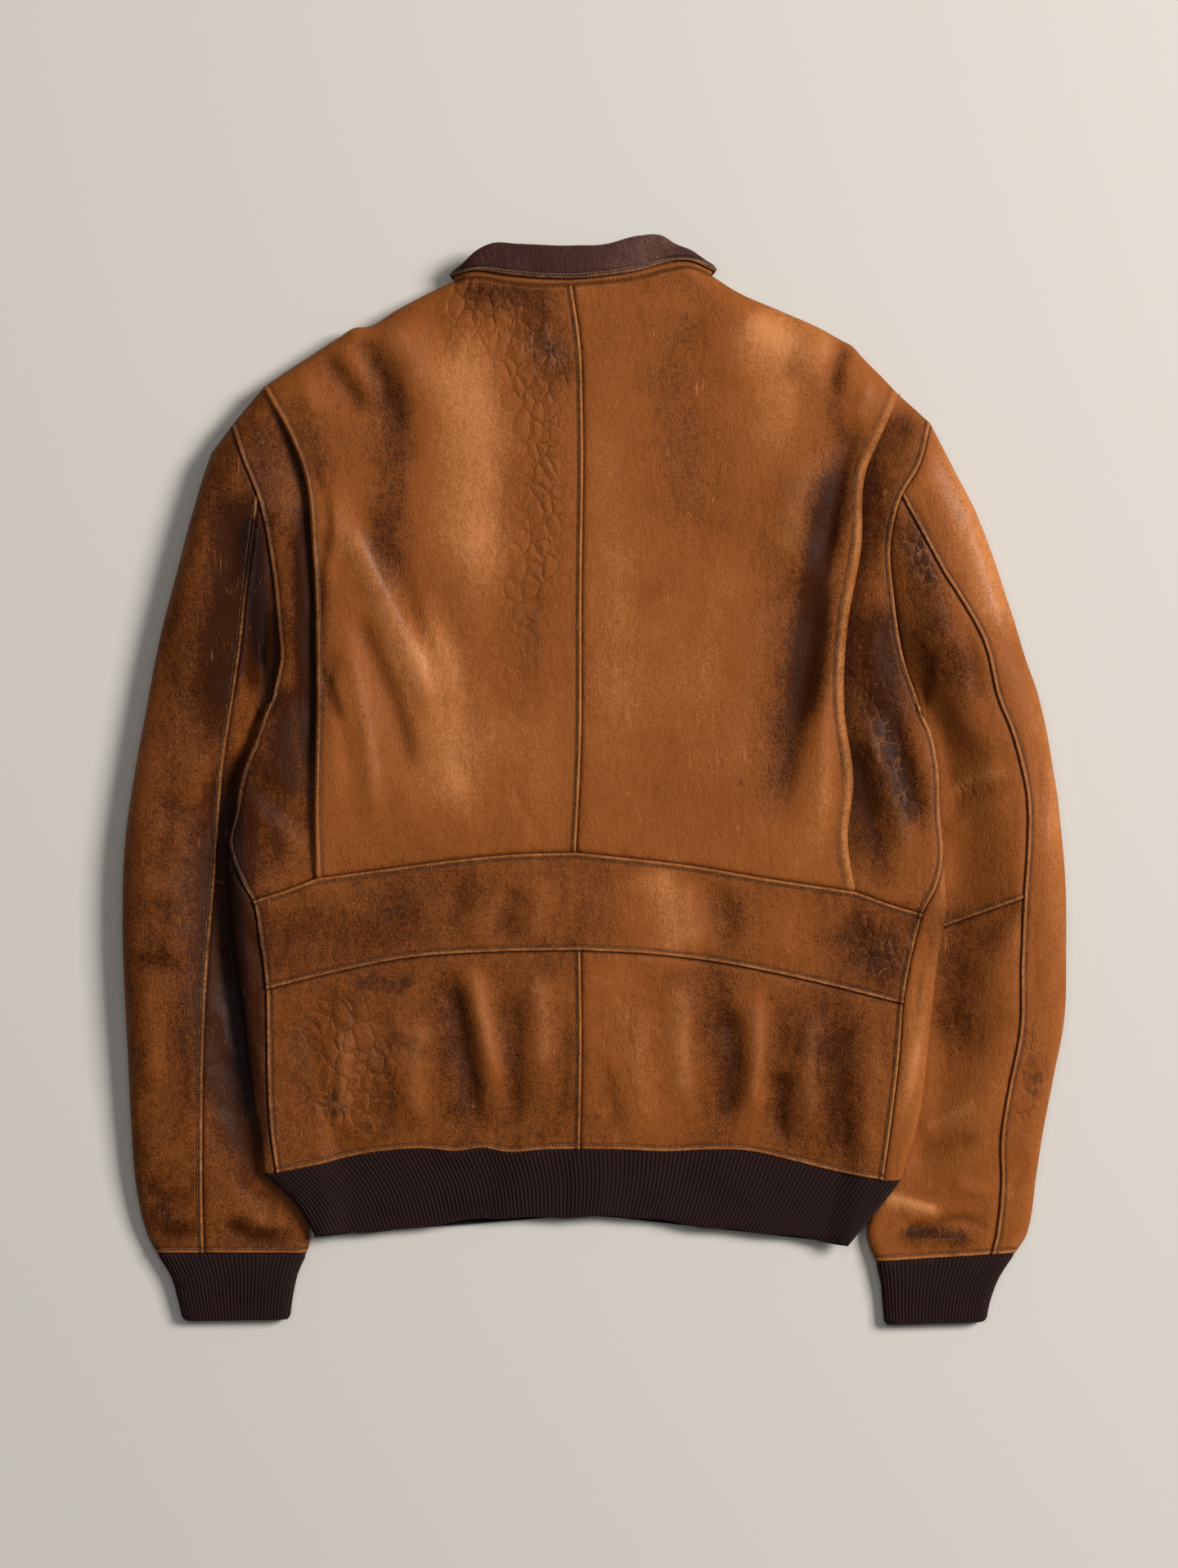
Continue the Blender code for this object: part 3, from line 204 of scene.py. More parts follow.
# The collar's row: x, leaf edge above the neck seam, crest above the neck seam, degrees turned
# from the back round to the front
collar = ((-9.5, -27, 23, 180), (-30, -33, 22, 180), (-56, -28, 21, 180), (-78, -14, 16, 180),
          (-90, 0, 10, 150), (-97, 3, 8.5, 90), (-91, 3.5, 11, 40), (-82, 3.8, 18, 10),
          (-70, 4.2, 25, 0), (-54, 4.4, 27.4, 0), (-34, 4.2, 27.4, 0), (-12, 3.4, 27, 0),
          (10, 3.8, 26.8, 0), (31, 4.4, 29.2, 0), (46, 4.6, 25, 0), (58, 4.4, 16, 0),
          (68, 3.6, 11.5, 15), (76, 3.2, 9, 50), (81, 3, 8.5, 90), (75, 0, 10, 150),
          (66, -12, 15, 180), (46, -27, 20, 180), (20, -33, 22, 180), (1.5, -27, 23, 180))
print("cuff rows", len(cuff["left"]), "collar rows", len(collar))

# %% [markdown]
# ## Curves and heights
#
# A few small functions turn the tables into shape. `walk` reads a smooth curve at shares of its
# length, and `distance` measures how far points are from a curve. `upper` and `lower` give the
# height of the back and of the fronts below it. Near the jacket's outline they meet in a
# quarter ellipse, which is how stiff leather folds.

# %% Curves
def spline(knots, values, at):
    """Smooth curve through the rows of values, read at the given places on the knots."""
    knots = np.asarray(knots, float)
    values = np.asarray(values, float)
    slopes = np.gradient(values, knots, axis=0)
    i = np.clip(np.searchsorted(knots, at, side="right") - 1, 0, len(knots) - 2)
    width = (knots[i + 1] - knots[i])[:, None]
    t = (at - knots[i])[:, None] / width
    rise = (1 + 2 * t) * (1 - t) ** 2 * values[i] + t * t * (3 - 2 * t) * values[i + 1]
    return rise + width * t * (1 - t) * ((1 - t) * slopes[i] - t * slopes[i + 1])


def shares_of(points):
    steps = np.linalg.norm(np.diff(points[:, :2], axis=0), axis=1)
    reach = np.concatenate(([0.0], np.cumsum(steps)))
    return reach / reach[-1]


def walk(points, shares):
    points = np.asarray(points, float)
    return spline(shares_of(points), points, np.asarray(shares, float))


def fine(points, count=240):
    """A table's curve as a line of many points."""
    return walk(points, np.linspace(0, 1, count + 1))


def join(*runs):
    return np.concatenate([runs[0]] + [run[1:] for run in runs[1:]])


def at_shares(line, shares):
    """Points of a fine line at an array of shares of its length, of any shape."""
    own = shares_of(line)
    return np.stack([np.interp(shares, own, column) for column in line.T], axis=-1)


def length_of(line):
    return float(np.linalg.norm(np.diff(line, axis=0), axis=1).sum())


def ease(t):
    t = np.clip(t, 0, 1)
    return t * t * (3 - 2 * t)


def dome(t):
    """Height of a rounded edge, from 0 at the edge to 1."""
    return np.sqrt(1 - (1 - np.clip(t, 0, 1)) ** 2)


def unit(ways):
    return ways / np.maximum(np.linalg.norm(ways, axis=-1, keepdims=True), 1e-9)


print("half way up an ease", ease(0.5))

# %% Distances
def nearest(line, x, y):
    """Distance in plan to a line, share of the way along it, and side: 1 to its left, or -1.

    The closest point of the line is found first, then the two stretches that meet there."""
    line = np.asarray(line, float)[:, :2]
    reach = np.concatenate(([0.0], np.cumsum(np.linalg.norm(np.diff(line, axis=0), axis=1))))
    at = np.stack((np.ravel(x), np.ravel(y)), axis=-1)
    closest = ((line ** 2).sum(1) - 2 * at @ line.T).argmin(1)
    best = np.full(len(at), 1e9)
    share = np.zeros(len(at))
    left = np.ones(len(at))
    for shift in (-1, 0):
        i = np.clip(closest + shift, 0, len(line) - 2)
        way = line[i + 1] - line[i]
        away = at - line[i]
        span = np.maximum((way ** 2).sum(1), 1e-12)
        t = np.clip((away * way).sum(1) / span, 0, 1)
        gap = np.linalg.norm(away - t[:, None] * way, axis=1)
        closer = gap < best
        best = np.where(closer, gap, best)
        share = np.where(closer, (reach[i] + t * np.sqrt(span)) / reach[-1], share)
        left = np.where(closer, np.sign(way[:, 0] * away[:, 1] - way[:, 1] * away[:, 0]), left)
    shape = np.shape(x)
    return best.reshape(shape), share.reshape(shape), left.reshape(shape)


def distance(line, x, y):
    return nearest(line, x, y)[0]


def table_value(table, at, column=1):
    rows = sorted(table)
    return np.interp(at, [row[0] for row in rows], [row[column] for row in rows])


print("centre seam", round(length_of(fine(centre_seam))), "mm")

# %% Outline and underlay
body_loft = ((-320, 11), (-262, 12.5), (-240, 15), (-200, 20), (-130, 23), (-60, 24), (0, 25),
             (100, 27), (200, 28), (300, 27), (330, 24.5), (350, 22), (385, 22))
body_on_sleeve = 10.4
least_loft = 8.5
fold_shape = 0.8
armpit_loft = 20.0
armpit_sag = 7.0
neck_low = 2.8
zip_lift = 4.2
sign = {"left": -1, "right": 1}
outer_line = {}
for name in sign:
    end = fine(shoulder_end[name], 40)
    sections = fine([row[:2] for row in sleeve[name]], 200)
    outer_line[name] = join(end, np.concatenate((end[-1:], sections)))
fold_line = {name: fine([(fold, y) for y, fold, seam in side[name]], 120) for name in sign}
inner_line = {name: fine([row[2:4] for row in sleeve[name]], 120) for name in sign}
neck_seam = join(fine(neck["left"], 80)[::-1], fine(neck["right"], 80))
neckline = join(fine(front_neck["left"], 60)[::-1], fine(front_neck["right"], 60))


def outline():
    """The jacket's own edges: shoulders with the collar between them, and both sides."""
    crest = [(x, np.interp(x, neck_seam[:, 0], neck_seam[:, 1]) + up)
             for x, leaf, up, turn in collar if turn < 60]
    top = np.concatenate((outer_line["left"][:60][::-1], fine(shoulder["left"], 80)[::-1],
                          fine(crest, 60), fine(shoulder["right"], 80),
                          outer_line["right"][:60]))
    left = np.concatenate((fold_line["left"], fine([row[:2] for row in hem_band], 20)))
    right = np.concatenate((fold_line["right"], fine([row[3:5] for row in hem_band], 20)))
    return top, left, right


edges = outline()
armpit = {name: np.array(armhole[name][-1], float) for name in sign}


def underlay(x, y):
    """Height of the body's underside: 0, or over the sleeve, the closing or the collar."""
    lift = np.zeros_like(x)
    for name in sign:
        inner = sign[name] * table_value([(row[3], row[2]) for row in sleeve[name]], y)
        across = ease((sign[name] * x - inner + 38) / 28)
        along = ease((armpit[name][1] + 30 - y) / 28)
        lift = np.maximum(lift, body_on_sleeve * across * along)
    over_zip = zip_lift * (1 - ease((np.abs(x - zip_x) - 8) / 16))
    over_collar = neck_low * ease((50 - distance(neckline[::6], x, y)) / 12)
    return np.maximum(lift, np.maximum(over_zip, over_collar))


# %% [markdown]
# ## Creases listed one by one
#
# Leather keeps the folds of its wearer. Each row below is one trough or ridge: its line, its
# height (a trough is negative) and its half width. They are soft in section and fade out at
# both ends. Uneven lengths and spacing keep them from looking combed.

# %% Creases of the back
# Each row: x and y of its points in turn, then its height and half width
back_creases = (
    # left shoulder, down from the shoulder seam
    (-163, 314, -150, 285, -133, 246, -4.2, 11), (-178, 309, -165, 288, -148, 262, 2.0, 8),
    (-190, 300, -172, 275, -156, 250, -4.2, 8), (-205, 289, -196, 268, -186, 246, 1.8, 7),
    (-146, 322, -128, 300, -112, 262, 2.2, 13), (-122, 334, -106, 312, -98, 286, -1.6, 9),
    (-140, 262, -130, 236, -128, 210, -2.4, 17),
    # beside the left pleat
    (-197, 226, -186, 190, -183, 140, -2.0, 6), (-178, 200, -180, 168, -186, 130, 1.8, 7),
    (-182, 96, -184, 60, -189, 20, -1.8, 6), (-176, 70, -172, 30, -182, -22, 1.3, 8),
    (-180, 196, -154, 144, -124, 86, -106, 30, 3.8, 9),
    (-168, 124, -151, 84, -135, 44, -124, -10, -3.8, 8),
    (-174, 116, -163, 72, -154, 20, -150, -40, 2.6, 7), (-186, 176, -189, 142, -190, 106, -2.4, 4),
    (-188, 80, -181, 58, -177, 36, -2.3, 3.4), (-178, 60, -172, 30, -170, 0, -1.6, 5),
    (-144, 168, -128, 126, -118, 86, -2.3, 10), (-124, 136, -108, 96, -92, 52, 2.0, 9),
    (-104, 120, -92, 70, -84, 10, -1.5, 12), (-96, 190, -84, 150, -76, 86, 1.6, 16),
    (-112, 20, -96, -10, -80, -46, 1.2, 9), (-60, 4, -46, -22, -31, -47, -.8, 2.6),
    (-74, 240, -66, 200, -70, 150, -.9, 11), (-40, 100, -34, 40, -38, -30, .9, 12),
    # right shoulder
    (179, 303, 169, 290, 162, 262, -3.2, 7), (168, 309, 156, 290, 150, 268, 1.7, 8),
    (152, 314, 140, 300, 128, 268, -2.2, 9), (118, 331, 104, 306, 96, 268, 1.7, 15),
    (196, 286, 186, 262, 180, 240, 1.7, 6), (82, 345, 70, 318, 66, 286, -1.3, 11),
    # the long valley beside the right pleat
    (184, 254, 173, 222, 166, 190, 155, 138, -5.2, 9),
    (156, 146, 147, 84, 135, 16, 124, -44, -4.4, 11), (150, 232, 141, 190, 128, 140, 2.2, 15),
    (126, 150, 114, 92, 100, 24, 92, -40, 1.8, 18), (168, 100, 160, 54, 158, 0, 154, -50, 2.0, 7),
    (80, 200, 70, 140, 62, 70, -1.2, 17), (40, 250, 36, 190, 30, 120, .9, 17),
    (52, 40, 44, 0, 40, -46, -.8, 12), (94, 250, 84, 214, 80, 180, -1.0, 12),
    # gussets
    (-246, 8, -222, -12, -196, -36, -2.2, 7), (-240, -12, -222, -28, -200, -48, 1.7, 6),
    (-214, 186, -207, 140, -206, 84, -1.5, 6), (-208, 60, -214, 20, -214, -20, 1.3, 9),
    (182, 52, 196, 20, 214, -30, 222, -70, 2.6, 8), (198, 60, 214, 16, 228, -36, -2.2, 7),
    (180, 22, 190, -14, 204, -62, -1.8, 7), (192, 110, 196, 76, 206, 44, 1.3, 6),
    (190, 226, 194, 190, 192, 150, -1.2, 6), (204, 120, 204, 92, 212, 64, -1.6, 5),
    # belt
    (-190, -76, -150, -98, -120, -118, 1.1, 10), (-54, -70, -58, -92, -60, -118, -2.0, 8),
    (-84, -60, -92, -86, -100, -116, -1.8, 9), (-36, -64, -38, -90, -46, -116, 1.6, 9),
    (-72, -80, -76, -100, -78, -120, 1.3, 7), (60, -66, 66, -92, 72, -120, 2.0, 9),
    (86, -70, 92, -98, 92, -122, -2.2, 8), (142, -80, 132, -104, 128, -128, 1.0, 9),
    (176, -84, 184, -110, 192, -140, -1.2, 8), (10, -56, 2, -84, 8, -112, -.8, 9),
    # below the belt, gathered by the knitted hem
    (-102, -126, -94, -157, -86, -200, -78, -250, -5.0, 8),
    (-84, -126, -76, -168, -66, -214, 2.8, 7), (-42, -126, -34, -168, -38, -214, 2.6, 10),
    (-56, -140, -54, -190, -58, -250, -2.6, 8), (-20, -150, -20, -200, -26, -250, -1.6, 6),
    (-118, -160, -124, -210, -114, -248, 2.4, 10), (-146, -140, -146, -196, -140, -252, -2.4, 9),
    (-172, -160, -172, -214, -176, -254, 2.3, 10), (-200, -150, -196, -200, -200, -262, -1.8, 8),
    (-96, -236, -100, -248, -104, -262, 1.6, 5), (4, -190, 12, -222, 18, -252, -2.2, 6),
    (36, -150, 30, -206, 36, -250, 1.7, 9), (62, -130, 60, -178, 66, -240, 2.8, 11),
    (92, -150, 98, -196, 92, -246, -4.2, 8), (112, -140, 113, -184, 108, -240, 2.6, 8),
    (131, -196, 129, -228, 134, -258, -3.6, 7), (152, -150, 150, -204, 154, -260, 2.2, 10),
    (176, -160, 172, -214, 176, -266, -2.4, 8), (194, -170, 190, -220, 192, -270, 1.6, 6),
    # the side strips that turn round the folds
    (-246, -100, -232, -118, -230, -150, -1.6, 5), (-244, -160, -232, -190, -230, -226, 1.3, 4),
    (240, -104, 226, -132, 222, -170, -1.8, 5), (236, -150, 222, -190, 214, -236, 1.6, 5))
print("creases of the back", len(back_creases))

# %% Creases of the sleeves
sleeve_creases = (
    # left: long soft folds outside, short ones near the elbow and the cuff
    (-258, 234, -256, 204, -266, 164, -1.8, 9), (-272, 204, -277, 160, -282, 120, 1.3, 13),
    (-248, 200, -250, 160, -256, 124, -1.5, 8), (-292, 118, -296, 76, -300, 22, -1.2, 12),
    (-300, 84, -284, 66, -266, 62, -1.3, 9), (-308, 30, -306, -20, -311, -70, 1.3, 12),
    (-284, 36, -276, 4, -278, -28, 1.1, 9), (-312, -4, -290, -18, -270, -14, -1.3, 8),
    (-294, -30, -292, -70, -296, -110, -1.1, 13), (-318, -60, -300, -76, -278, -72, 1.2, 8),
    (-322, -118, -302, -126, -278, -130, -1.9, 6), (-312, -136, -306, -176, -309, -220, 1.2, 11),
    (-292, -150, -284, -186, -288, -228, -1.0, 9), (-320, -206, -306, -214, -290, -210, -1.0, 8),
    (-316, -250, -298, -260, -278, -256, 1.2, 8), (-313, -280, -296, -289, -276, -286, -2.2, 5),
    (-308, -299, -292, -303, -274, -298, 1.6, 3.6),
    (-308, -314, -292, -314, -272, -311, -1.5, 3.4), (-262, -150, -256, -172, -250, -200, 1.3, 5),
    (-262, -226, -252, -244, -246, -268, 1.3, 6), (-260, -110, -255, -132, -256, -150, -1.2, 5),
    (-250, -268, -234, -286, -214, -292, -1.8, 6), (-244, -296, -228, -306, -208, -308, 1.5, 4.5),
    (-256, -306, -240, -316, -220, -317, -1.2, 3.5),
    # right
    (243, 232, 250, 196, 262, 160, -1.2, 9), (262, 184, 272, 148, 286, 110, 1.1, 9),
    (222, 172, 226, 150, 240, 128, -2.0, 7), (230, 140, 238, 110, 256, 84, 1.4, 8),
    (222, 120, 232, 88, 250, 60, -2.2, 8), (240, 70, 252, 44, 270, 22, 1.4, 8),
    (256, 106, 262, 84, 264, 52, -1.4, 6), (316, 26, 318, -6, 316, -31, 310, -60, 1.8, 4),
    (309, 34, 308, 6, 305, -22, -1.6, 5), (240, -22, 256, -10, 270, -5, 293, 1, -2.2, 5),
    (242, -36, 262, -24, 290, -16, 1.7, 6), (246, 2, 262, 10, 284, 14, 1.3, 6),
    (296, -80, 280, -98, 258, -122, -2.3, 9), (298, -104, 282, -124, 262, -150, 1.6, 9),
    (322, -104, 308, -120, 298, -150, -1.4, 8), (290, -160, 268, -176, 246, -186, -1.7, 9),
    (222, -244, 240, -234, 266, -220, 2.1, 8), (216, -262, 240, -254, 270, -246, -2.4, 7),
    (318, -190, 304, -204, 292, -226, -1.5, 7), (304, -262, 294, -276, 282, -286, -1.6, 6),
    (200, -286, 220, -293, 240, -297, 2.4, 4.5),
    (206, -302, 226, -309, 252, -303, 277, -311, -2.8, 4),
    (197, -318, 210, -309, 224, -301, 1.9, 3.6), (214, -320, 240, -318, 268, -318, 1.5, 3.2),
    (246, -276, 262, -282, 278, -284, 1.6, 5))
print("creases of the sleeves", len(sleeve_creases))

# %% Creases of the fronts
# They lie on the floor, and lift slightly off it
front_creases = (
    (-150, 250, -120, 200, -110, 130, 1.5, 12), (-170, 160, -150, 100, -150, 30, 1.3, 12),
    (-60, 200, -52, 130, -60, 60, 1.2, 11), (-140, 0, -110, -60, -100, -130, 1.5, 12),
    (-60, -60, -64, -140, -54, -220, 1.6, 10), (-120, -170, -116, -210, -124, -250, 1.8, 8),
    (-156, -160, -160, -210, -152, -252, 1.5, 8), (-34, -150, -32, -200, -38, -246, 1.2, 6),
    (140, 250, 120, 190, 110, 120, 1.5, 12), (160, 130, 140, 60, 140, -10, 1.3, 12),
    (54, 190, 48, 110, 56, 30, 1.2, 11), (130, -20, 104, -90, 96, -160, 1.5, 12),
    (50, -90, 56, -160, 46, -230, 1.6, 10), (116, -180, 108, -220, 116, -252, 1.8, 8),
    (150, -150, 152, -206, 146, -256, 1.5, 8), (26, -160, 24, -210, 30, -248, 1.2, 6),
    (-290, 120, -278, 60, -284, 0, 1.4, 8), (-296, -40, -270, -60, -250, -64, 1.6, 7),
    (-300, -150, -280, -170, -250, -180, 1.6, 7), (-290, -250, -262, -262, -236, -262, 1.5, 6),
    (280, 100, 276, 40, 284, -20, 1.4, 8), (298, -60, 272, -76, 248, -84, 1.6, 7),
    (300, -160, 276, -180, 250, -186, 1.6, 7), (286, -262, 260, -270, 232, -272, 1.5, 6))


def creased(rows, x, y):
    """Sum of the creases at points of the plan."""
    total = np.zeros_like(x)
    for *places, height, width in rows:
        line = fine(np.reshape(places, (-1, 2)), 10)
        low, high = line.min(0) - 3 * width, line.max(0) + 3 * width
        near = (x > low[0]) & (x < high[0]) & (y > low[1]) & (y < high[1])
        if near.any():
            gap, share, left = nearest(line, x[near], y[near])
            taper = ease(share / 0.22) * ease((1 - share) / 0.3)
            lean = np.where(left > 0, 0.78, 1.25) * width
            total[near] += height * taper * np.exp(-np.abs(gap / lean) ** 1.7)
    return total


print("creases of the fronts", len(front_creases))

# %% [markdown]
# ## The height of the cloth
#
# Every point of the back finds its height here. The plain form comes from the same rules as
# the solid model below it, then the creases are added. Close to the outline the creases fade,
# so the silhouette stays clean. Some low, broad waves from a seeded sum of sines stop the
# leather from looking ironed.

# %% Heights of back and fronts
rng = np.random.default_rng(7)
wave_ways = rng.uniform(-1, 1, (14, 2))
wave_lengths = rng.uniform(26, 90, 14)
wave_starts = rng.uniform(0, 2 * math.pi, 14)


def waves(x, y):
    """Low broad waves, about one millimetre high at most."""
    total = np.zeros_like(x)
    for way, length, start in zip(wave_ways, wave_lengths, wave_starts):
        along = (x * way[0] + y * way[1]) / (length * math.hypot(*way))
        total += length / 90 * np.sin(2 * math.pi * along + start)
    return 0.13 * total


def to_edge(x, y):
    """Distance in plan to the jacket's own outline."""
    return np.min([distance(line, x, y) for line in edges], axis=0)


def body_range(x, y, creases=0.0):
    base = underlay(x, y)
    loft = table_value(body_loft, y)
    for name in sign:
        reach = np.hypot(x - armpit[name][0], y - armpit[name][1])
        loft = loft - (loft - armpit_loft) * np.exp(-(reach / 22) ** 2)
    loft = loft + creases
    least = base + least_loft
    return base, 0.5 * (loft + least + np.sqrt((loft - least) ** 2 + 4))


def upper(x, y):
    """Height of the back, creases and all."""
    gap = to_edge(x, y)
    calm = ease(gap / 16)
    creases = calm * (creased(back_creases, x, y) + waves(x, y))
    base, loft = body_range(x, y, creases)
    half = (loft - base) / 2
    return base + half + half * dome(gap / (fold_shape * (loft - base)))


def lower(x, y):
    """Height of the fronts, which lie on the floor and in places lift a little off it."""
    gap = to_edge(x, y)
    base, loft = body_range(x, y)
    half = (loft - base) / 2
    lift = ease(gap / 20) * np.maximum(creased(front_creases, x, y), 0) * (base < 0.5)
    return base + lift + (half - lift) * (1 - dome(gap / (fold_shape * (loft - base))))


middle = upper(np.array([0.0]), np.array([60.0]))
print("height of the back at its middle", round(float(middle[0]), 1))

# %% [markdown]
# ## Panels between four seams
#
# A Coons patch fills the space between four curves: it blends the two pairs of opposite sides
# and takes away the corners that were counted twice. The rows and columns crowd together near
# each seam, where the rolled edge needs fine steps, and open out to a few millimetres inside.

# %% Patches with fine borders
border = (0, 0.12, 0.35, 0.7, 1.15, 1.65, 2.2, 2.8, 3.4, 4.1, 5.2, 6.8)
mesh_step = 2.7


def stations(length, step):
    """Places along a length: close together at its ends, then a step apart."""
    start = np.array(border)
    inside = length - 2 * start[-1]
    count = max(int(round(inside / step)), 2)
    middle = start[-1] + inside * np.linspace(0, 1, count + 1)
    return np.concatenate((start[:-1], middle, length - start[:-1][::-1]))


def spread_to(places, length, lengths):
    """The same places for rows of other lengths: the borders keep their width."""
    ends = border[-1]
    lengths = np.asarray(lengths, float)[..., None]
    ends_here = np.minimum(ends, 0.45 * lengths)
    first = places * ends_here / ends
    last = lengths - (length - places) * ends_here / ends
    middle = ends_here + (places - ends) * (lengths - 2 * ends_here) / (length - 2 * ends)
    result = np.where(places <= ends, first, np.where(places >= length - ends, last, middle))
    return result / lengths


def patch(top, bottom, start, end, step=mesh_step):
    """Plan grid of a panel. start and end run from the top to the bottom."""
    width = 0.5 * (length_of(top) + length_of(bottom))
    height = 0.5 * (length_of(start) + length_of(end))
    across, down = stations(width, step), stations(height, step)
    shares = down / height
    widths = (1 - shares) * length_of(top) + shares * length_of(bottom)
    over = spread_to(across, width, widths)
    share = across / width
    heights = (1 - share) * length_of(start) + share * length_of(end)
    along = spread_to(down, height, heights).T
    u, v = over[..., None], along[..., None]
    corners = ((1 - v) * ((1 - u) * top[0] + u * top[-1])
               + v * ((1 - u) * bottom[0] + u * bottom[-1]))
    return ((1 - v) * at_shares(top, over) + v * at_shares(bottom, over)
            + (1 - u) * at_shares(start, along) + u * at_shares(end, along) - corners)


# %% [markdown]
# ## Seams
#
# At a lapped seam the upper panel is folded under, so its edge is a soft roll about three
# millimetres wide, rubbed pale by wear. The thread sits in a shallow trench just behind it. The
# panel below dips to pass under the roll. The stitching also draws the leather into small
# puckers, which fade within a centimetre.

# %% Seam profiles
roll_profile = ((0, -0.9), (0.12, -0.1), (0.35, 0.45), (0.7, 0.8), (1.15, 0.95), (1.65, 0.9),
                (2.2, 0.55), (2.8, 0.1), (3.4, -0.18), (4.1, -0.05), (5.2, 0.05), (6.8, 0))
under_profile = ((0, -1.2), (0.35, -1.1), (0.7, -0.9), (1.65, -0.55), (2.8, -0.25), (5.2, 0))
stitch_inset = 3.4
stitch_pitch = 2.1


def profile(rows, gap):
    rows = np.array(rows)
    return np.interp(gap, rows[:, 0], rows[:, 1], right=0)


def puckers(share, length, gap, strength):
    """Small ripples square to a seam, uneven along it."""
    at = share * length
    ripple = (np.sin(at / 1.9 + 1.7 * np.sin(at / 11))
              + 0.7 * np.sin(at / 3.1 + 2 * np.sin(at / 23)))
    swell = 0.6 + 0.4 * np.sin(at / 31 + 1)
    return strength * swell * ripple * np.exp(-(gap / 6) ** 1.3) * ease(gap / 1.5)


def add_seams(grid, seams, roll_height=1.0, pucker=0.3):
    """Presses the profiles of the seams into a grid, and tells how worn each point is.

    A seam is (line, kind), where kind is roll or under."""
    x, y = grid[..., 0], grid[..., 1]
    worn = np.zeros_like(x)
    thread = np.zeros_like(x)
    for line, kind in seams:
        gap, share, left = nearest(line, x, y)
        if kind == "roll":
            grid[..., 2] += roll_height * profile(roll_profile, gap)
            worn = np.maximum(worn, np.exp(-((gap - 1.1) / 1.25) ** 2))
            thread = np.maximum(thread, np.exp(-((gap - stitch_inset) / 0.9) ** 2))
        else:
            grid[..., 2] += profile(under_profile, gap)
            # the line where an edge laps over this panel is darkened through the thread number:
            # painted shade under the edge
            thread = np.maximum(thread, np.exp(-(gap / 1.5) ** 2))
        grid[..., 2] += puckers(share, length_of(line), gap, pucker)
    return worn, thread


print("stations over 100 mm", len(stations(100, mesh_step)))

# %% [markdown]
# ## From points to a sheet of leather
#
# `sheet_of` welds one or more grids into a mesh, turns its faces outward, stores the numbers for
# wear, tone, and painted highlight and shade on the points, and adds a Solidify modifier as the
# wall. `fit` attaches the piece to the body it moves with, hides the plain solid it stands for,
# and keeps and prints the flat size of its cut.

# %% Sheets
leather_wall = 1.5
knit_wall = 1.6
cut_sizes = {}


def flat_cut(*grids):
    """Width, length and area of a piece laid flat, in metres. Its grids share their rows."""
    grid = np.concatenate(grids, axis=1)
    widths = sum(np.linalg.norm(np.diff(part, axis=1), axis=2).sum(1) for part in grids)
    lengths = np.linalg.norm(np.diff(grid, axis=0), axis=2).sum(0)
    area = 0
    for part in grids:
        down, across = np.diff(part, axis=0)[:, :-1], np.diff(part, axis=1)[:-1]
        area += np.linalg.norm(np.cross(down, across), axis=-1).sum()
    return widths.max() * MM, lengths.max() * MM, area * MM * MM


def quads(grids):
    """The points of some grids in one list, and the faces between neighbours in each."""
    points, faces = [], []
    for grid in grids:
        rows, columns = grid.shape[:2]
        index = len(points) + np.arange(rows * columns).reshape(rows, columns)
        corners = index[:-1, :-1], index[:-1, 1:], index[1:, 1:], index[1:, :-1]
        faces += np.stack(corners, axis=-1).reshape(-1, 4).tolist()
        points += grid.reshape(-1, 3).tolist()
    return points, faces


def new_piece(name, points, faces):
    """A new object in the scene, from points in millimetres."""
    mesh = bpy.data.meshes.new(name)
    mesh.from_pydata((np.array(points) * MM).tolist(), [], faces)
    piece = bpy.data.objects.new(name, mesh)
    bpy.context.scene.collection.objects.link(piece)
    return piece


def sheet_of(name, grids, inside, wall, marks):
    """A mesh object from welded grids, wall thick to the inside.

    marks holds, for each grid, a dictionary of numbers for its points."""
    piece = new_piece(name, *quads(grids))
    mesh = piece.data
    for key in marks[0]:
        layer = mesh.attributes.new(key, "FLOAT", "POINT")
        values = np.concatenate([mark[key].ravel() for mark in marks])
        layer.data.foreach_set("value", values.astype(np.float32))
    work = bmesh.new()
    work.from_mesh(mesh)
    bmesh.ops.remove_doubles(work, verts=work.verts, dist=2e-6)
    bmesh.ops.dissolve_degenerate(work, edges=work.edges, dist=1e-7)
    bmesh.ops.recalc_face_normals(work, faces=work.faces)
    centre = np.array(inside) * MM
    outward = sum(face.normal.dot(face.calc_center_median() - type(face.normal)(centre))
                  * face.calc_area() for face in work.faces)
    if outward < 0:
        bmesh.ops.reverse_faces(work, faces=work.faces)
    work.to_mesh(mesh)
    work.free()
    mesh.shade_smooth()
    thicken = piece.modifiers.new("wall", "SOLIDIFY")
    thicken.thickness = wall * MM
    thicken.offset = -1
    return piece


def fit(piece, node, cut):
    """Attaches a sheet to the body it moves with, hides the solid it stands for, and keeps and
    prints the size of its cut.
    """
    width, length, area = cut
    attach(piece, "jacket")
    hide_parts(node)
    round(min(area, width * length), 4)
    cut_sizes[piece.name] = (round(width * 1000), round(length * 1000), round(area, 4))
    print(piece.name, len(piece.data.polygons), "faces, cut", cut_sizes[piece.name])


body_inside = (-4, 40, 12)
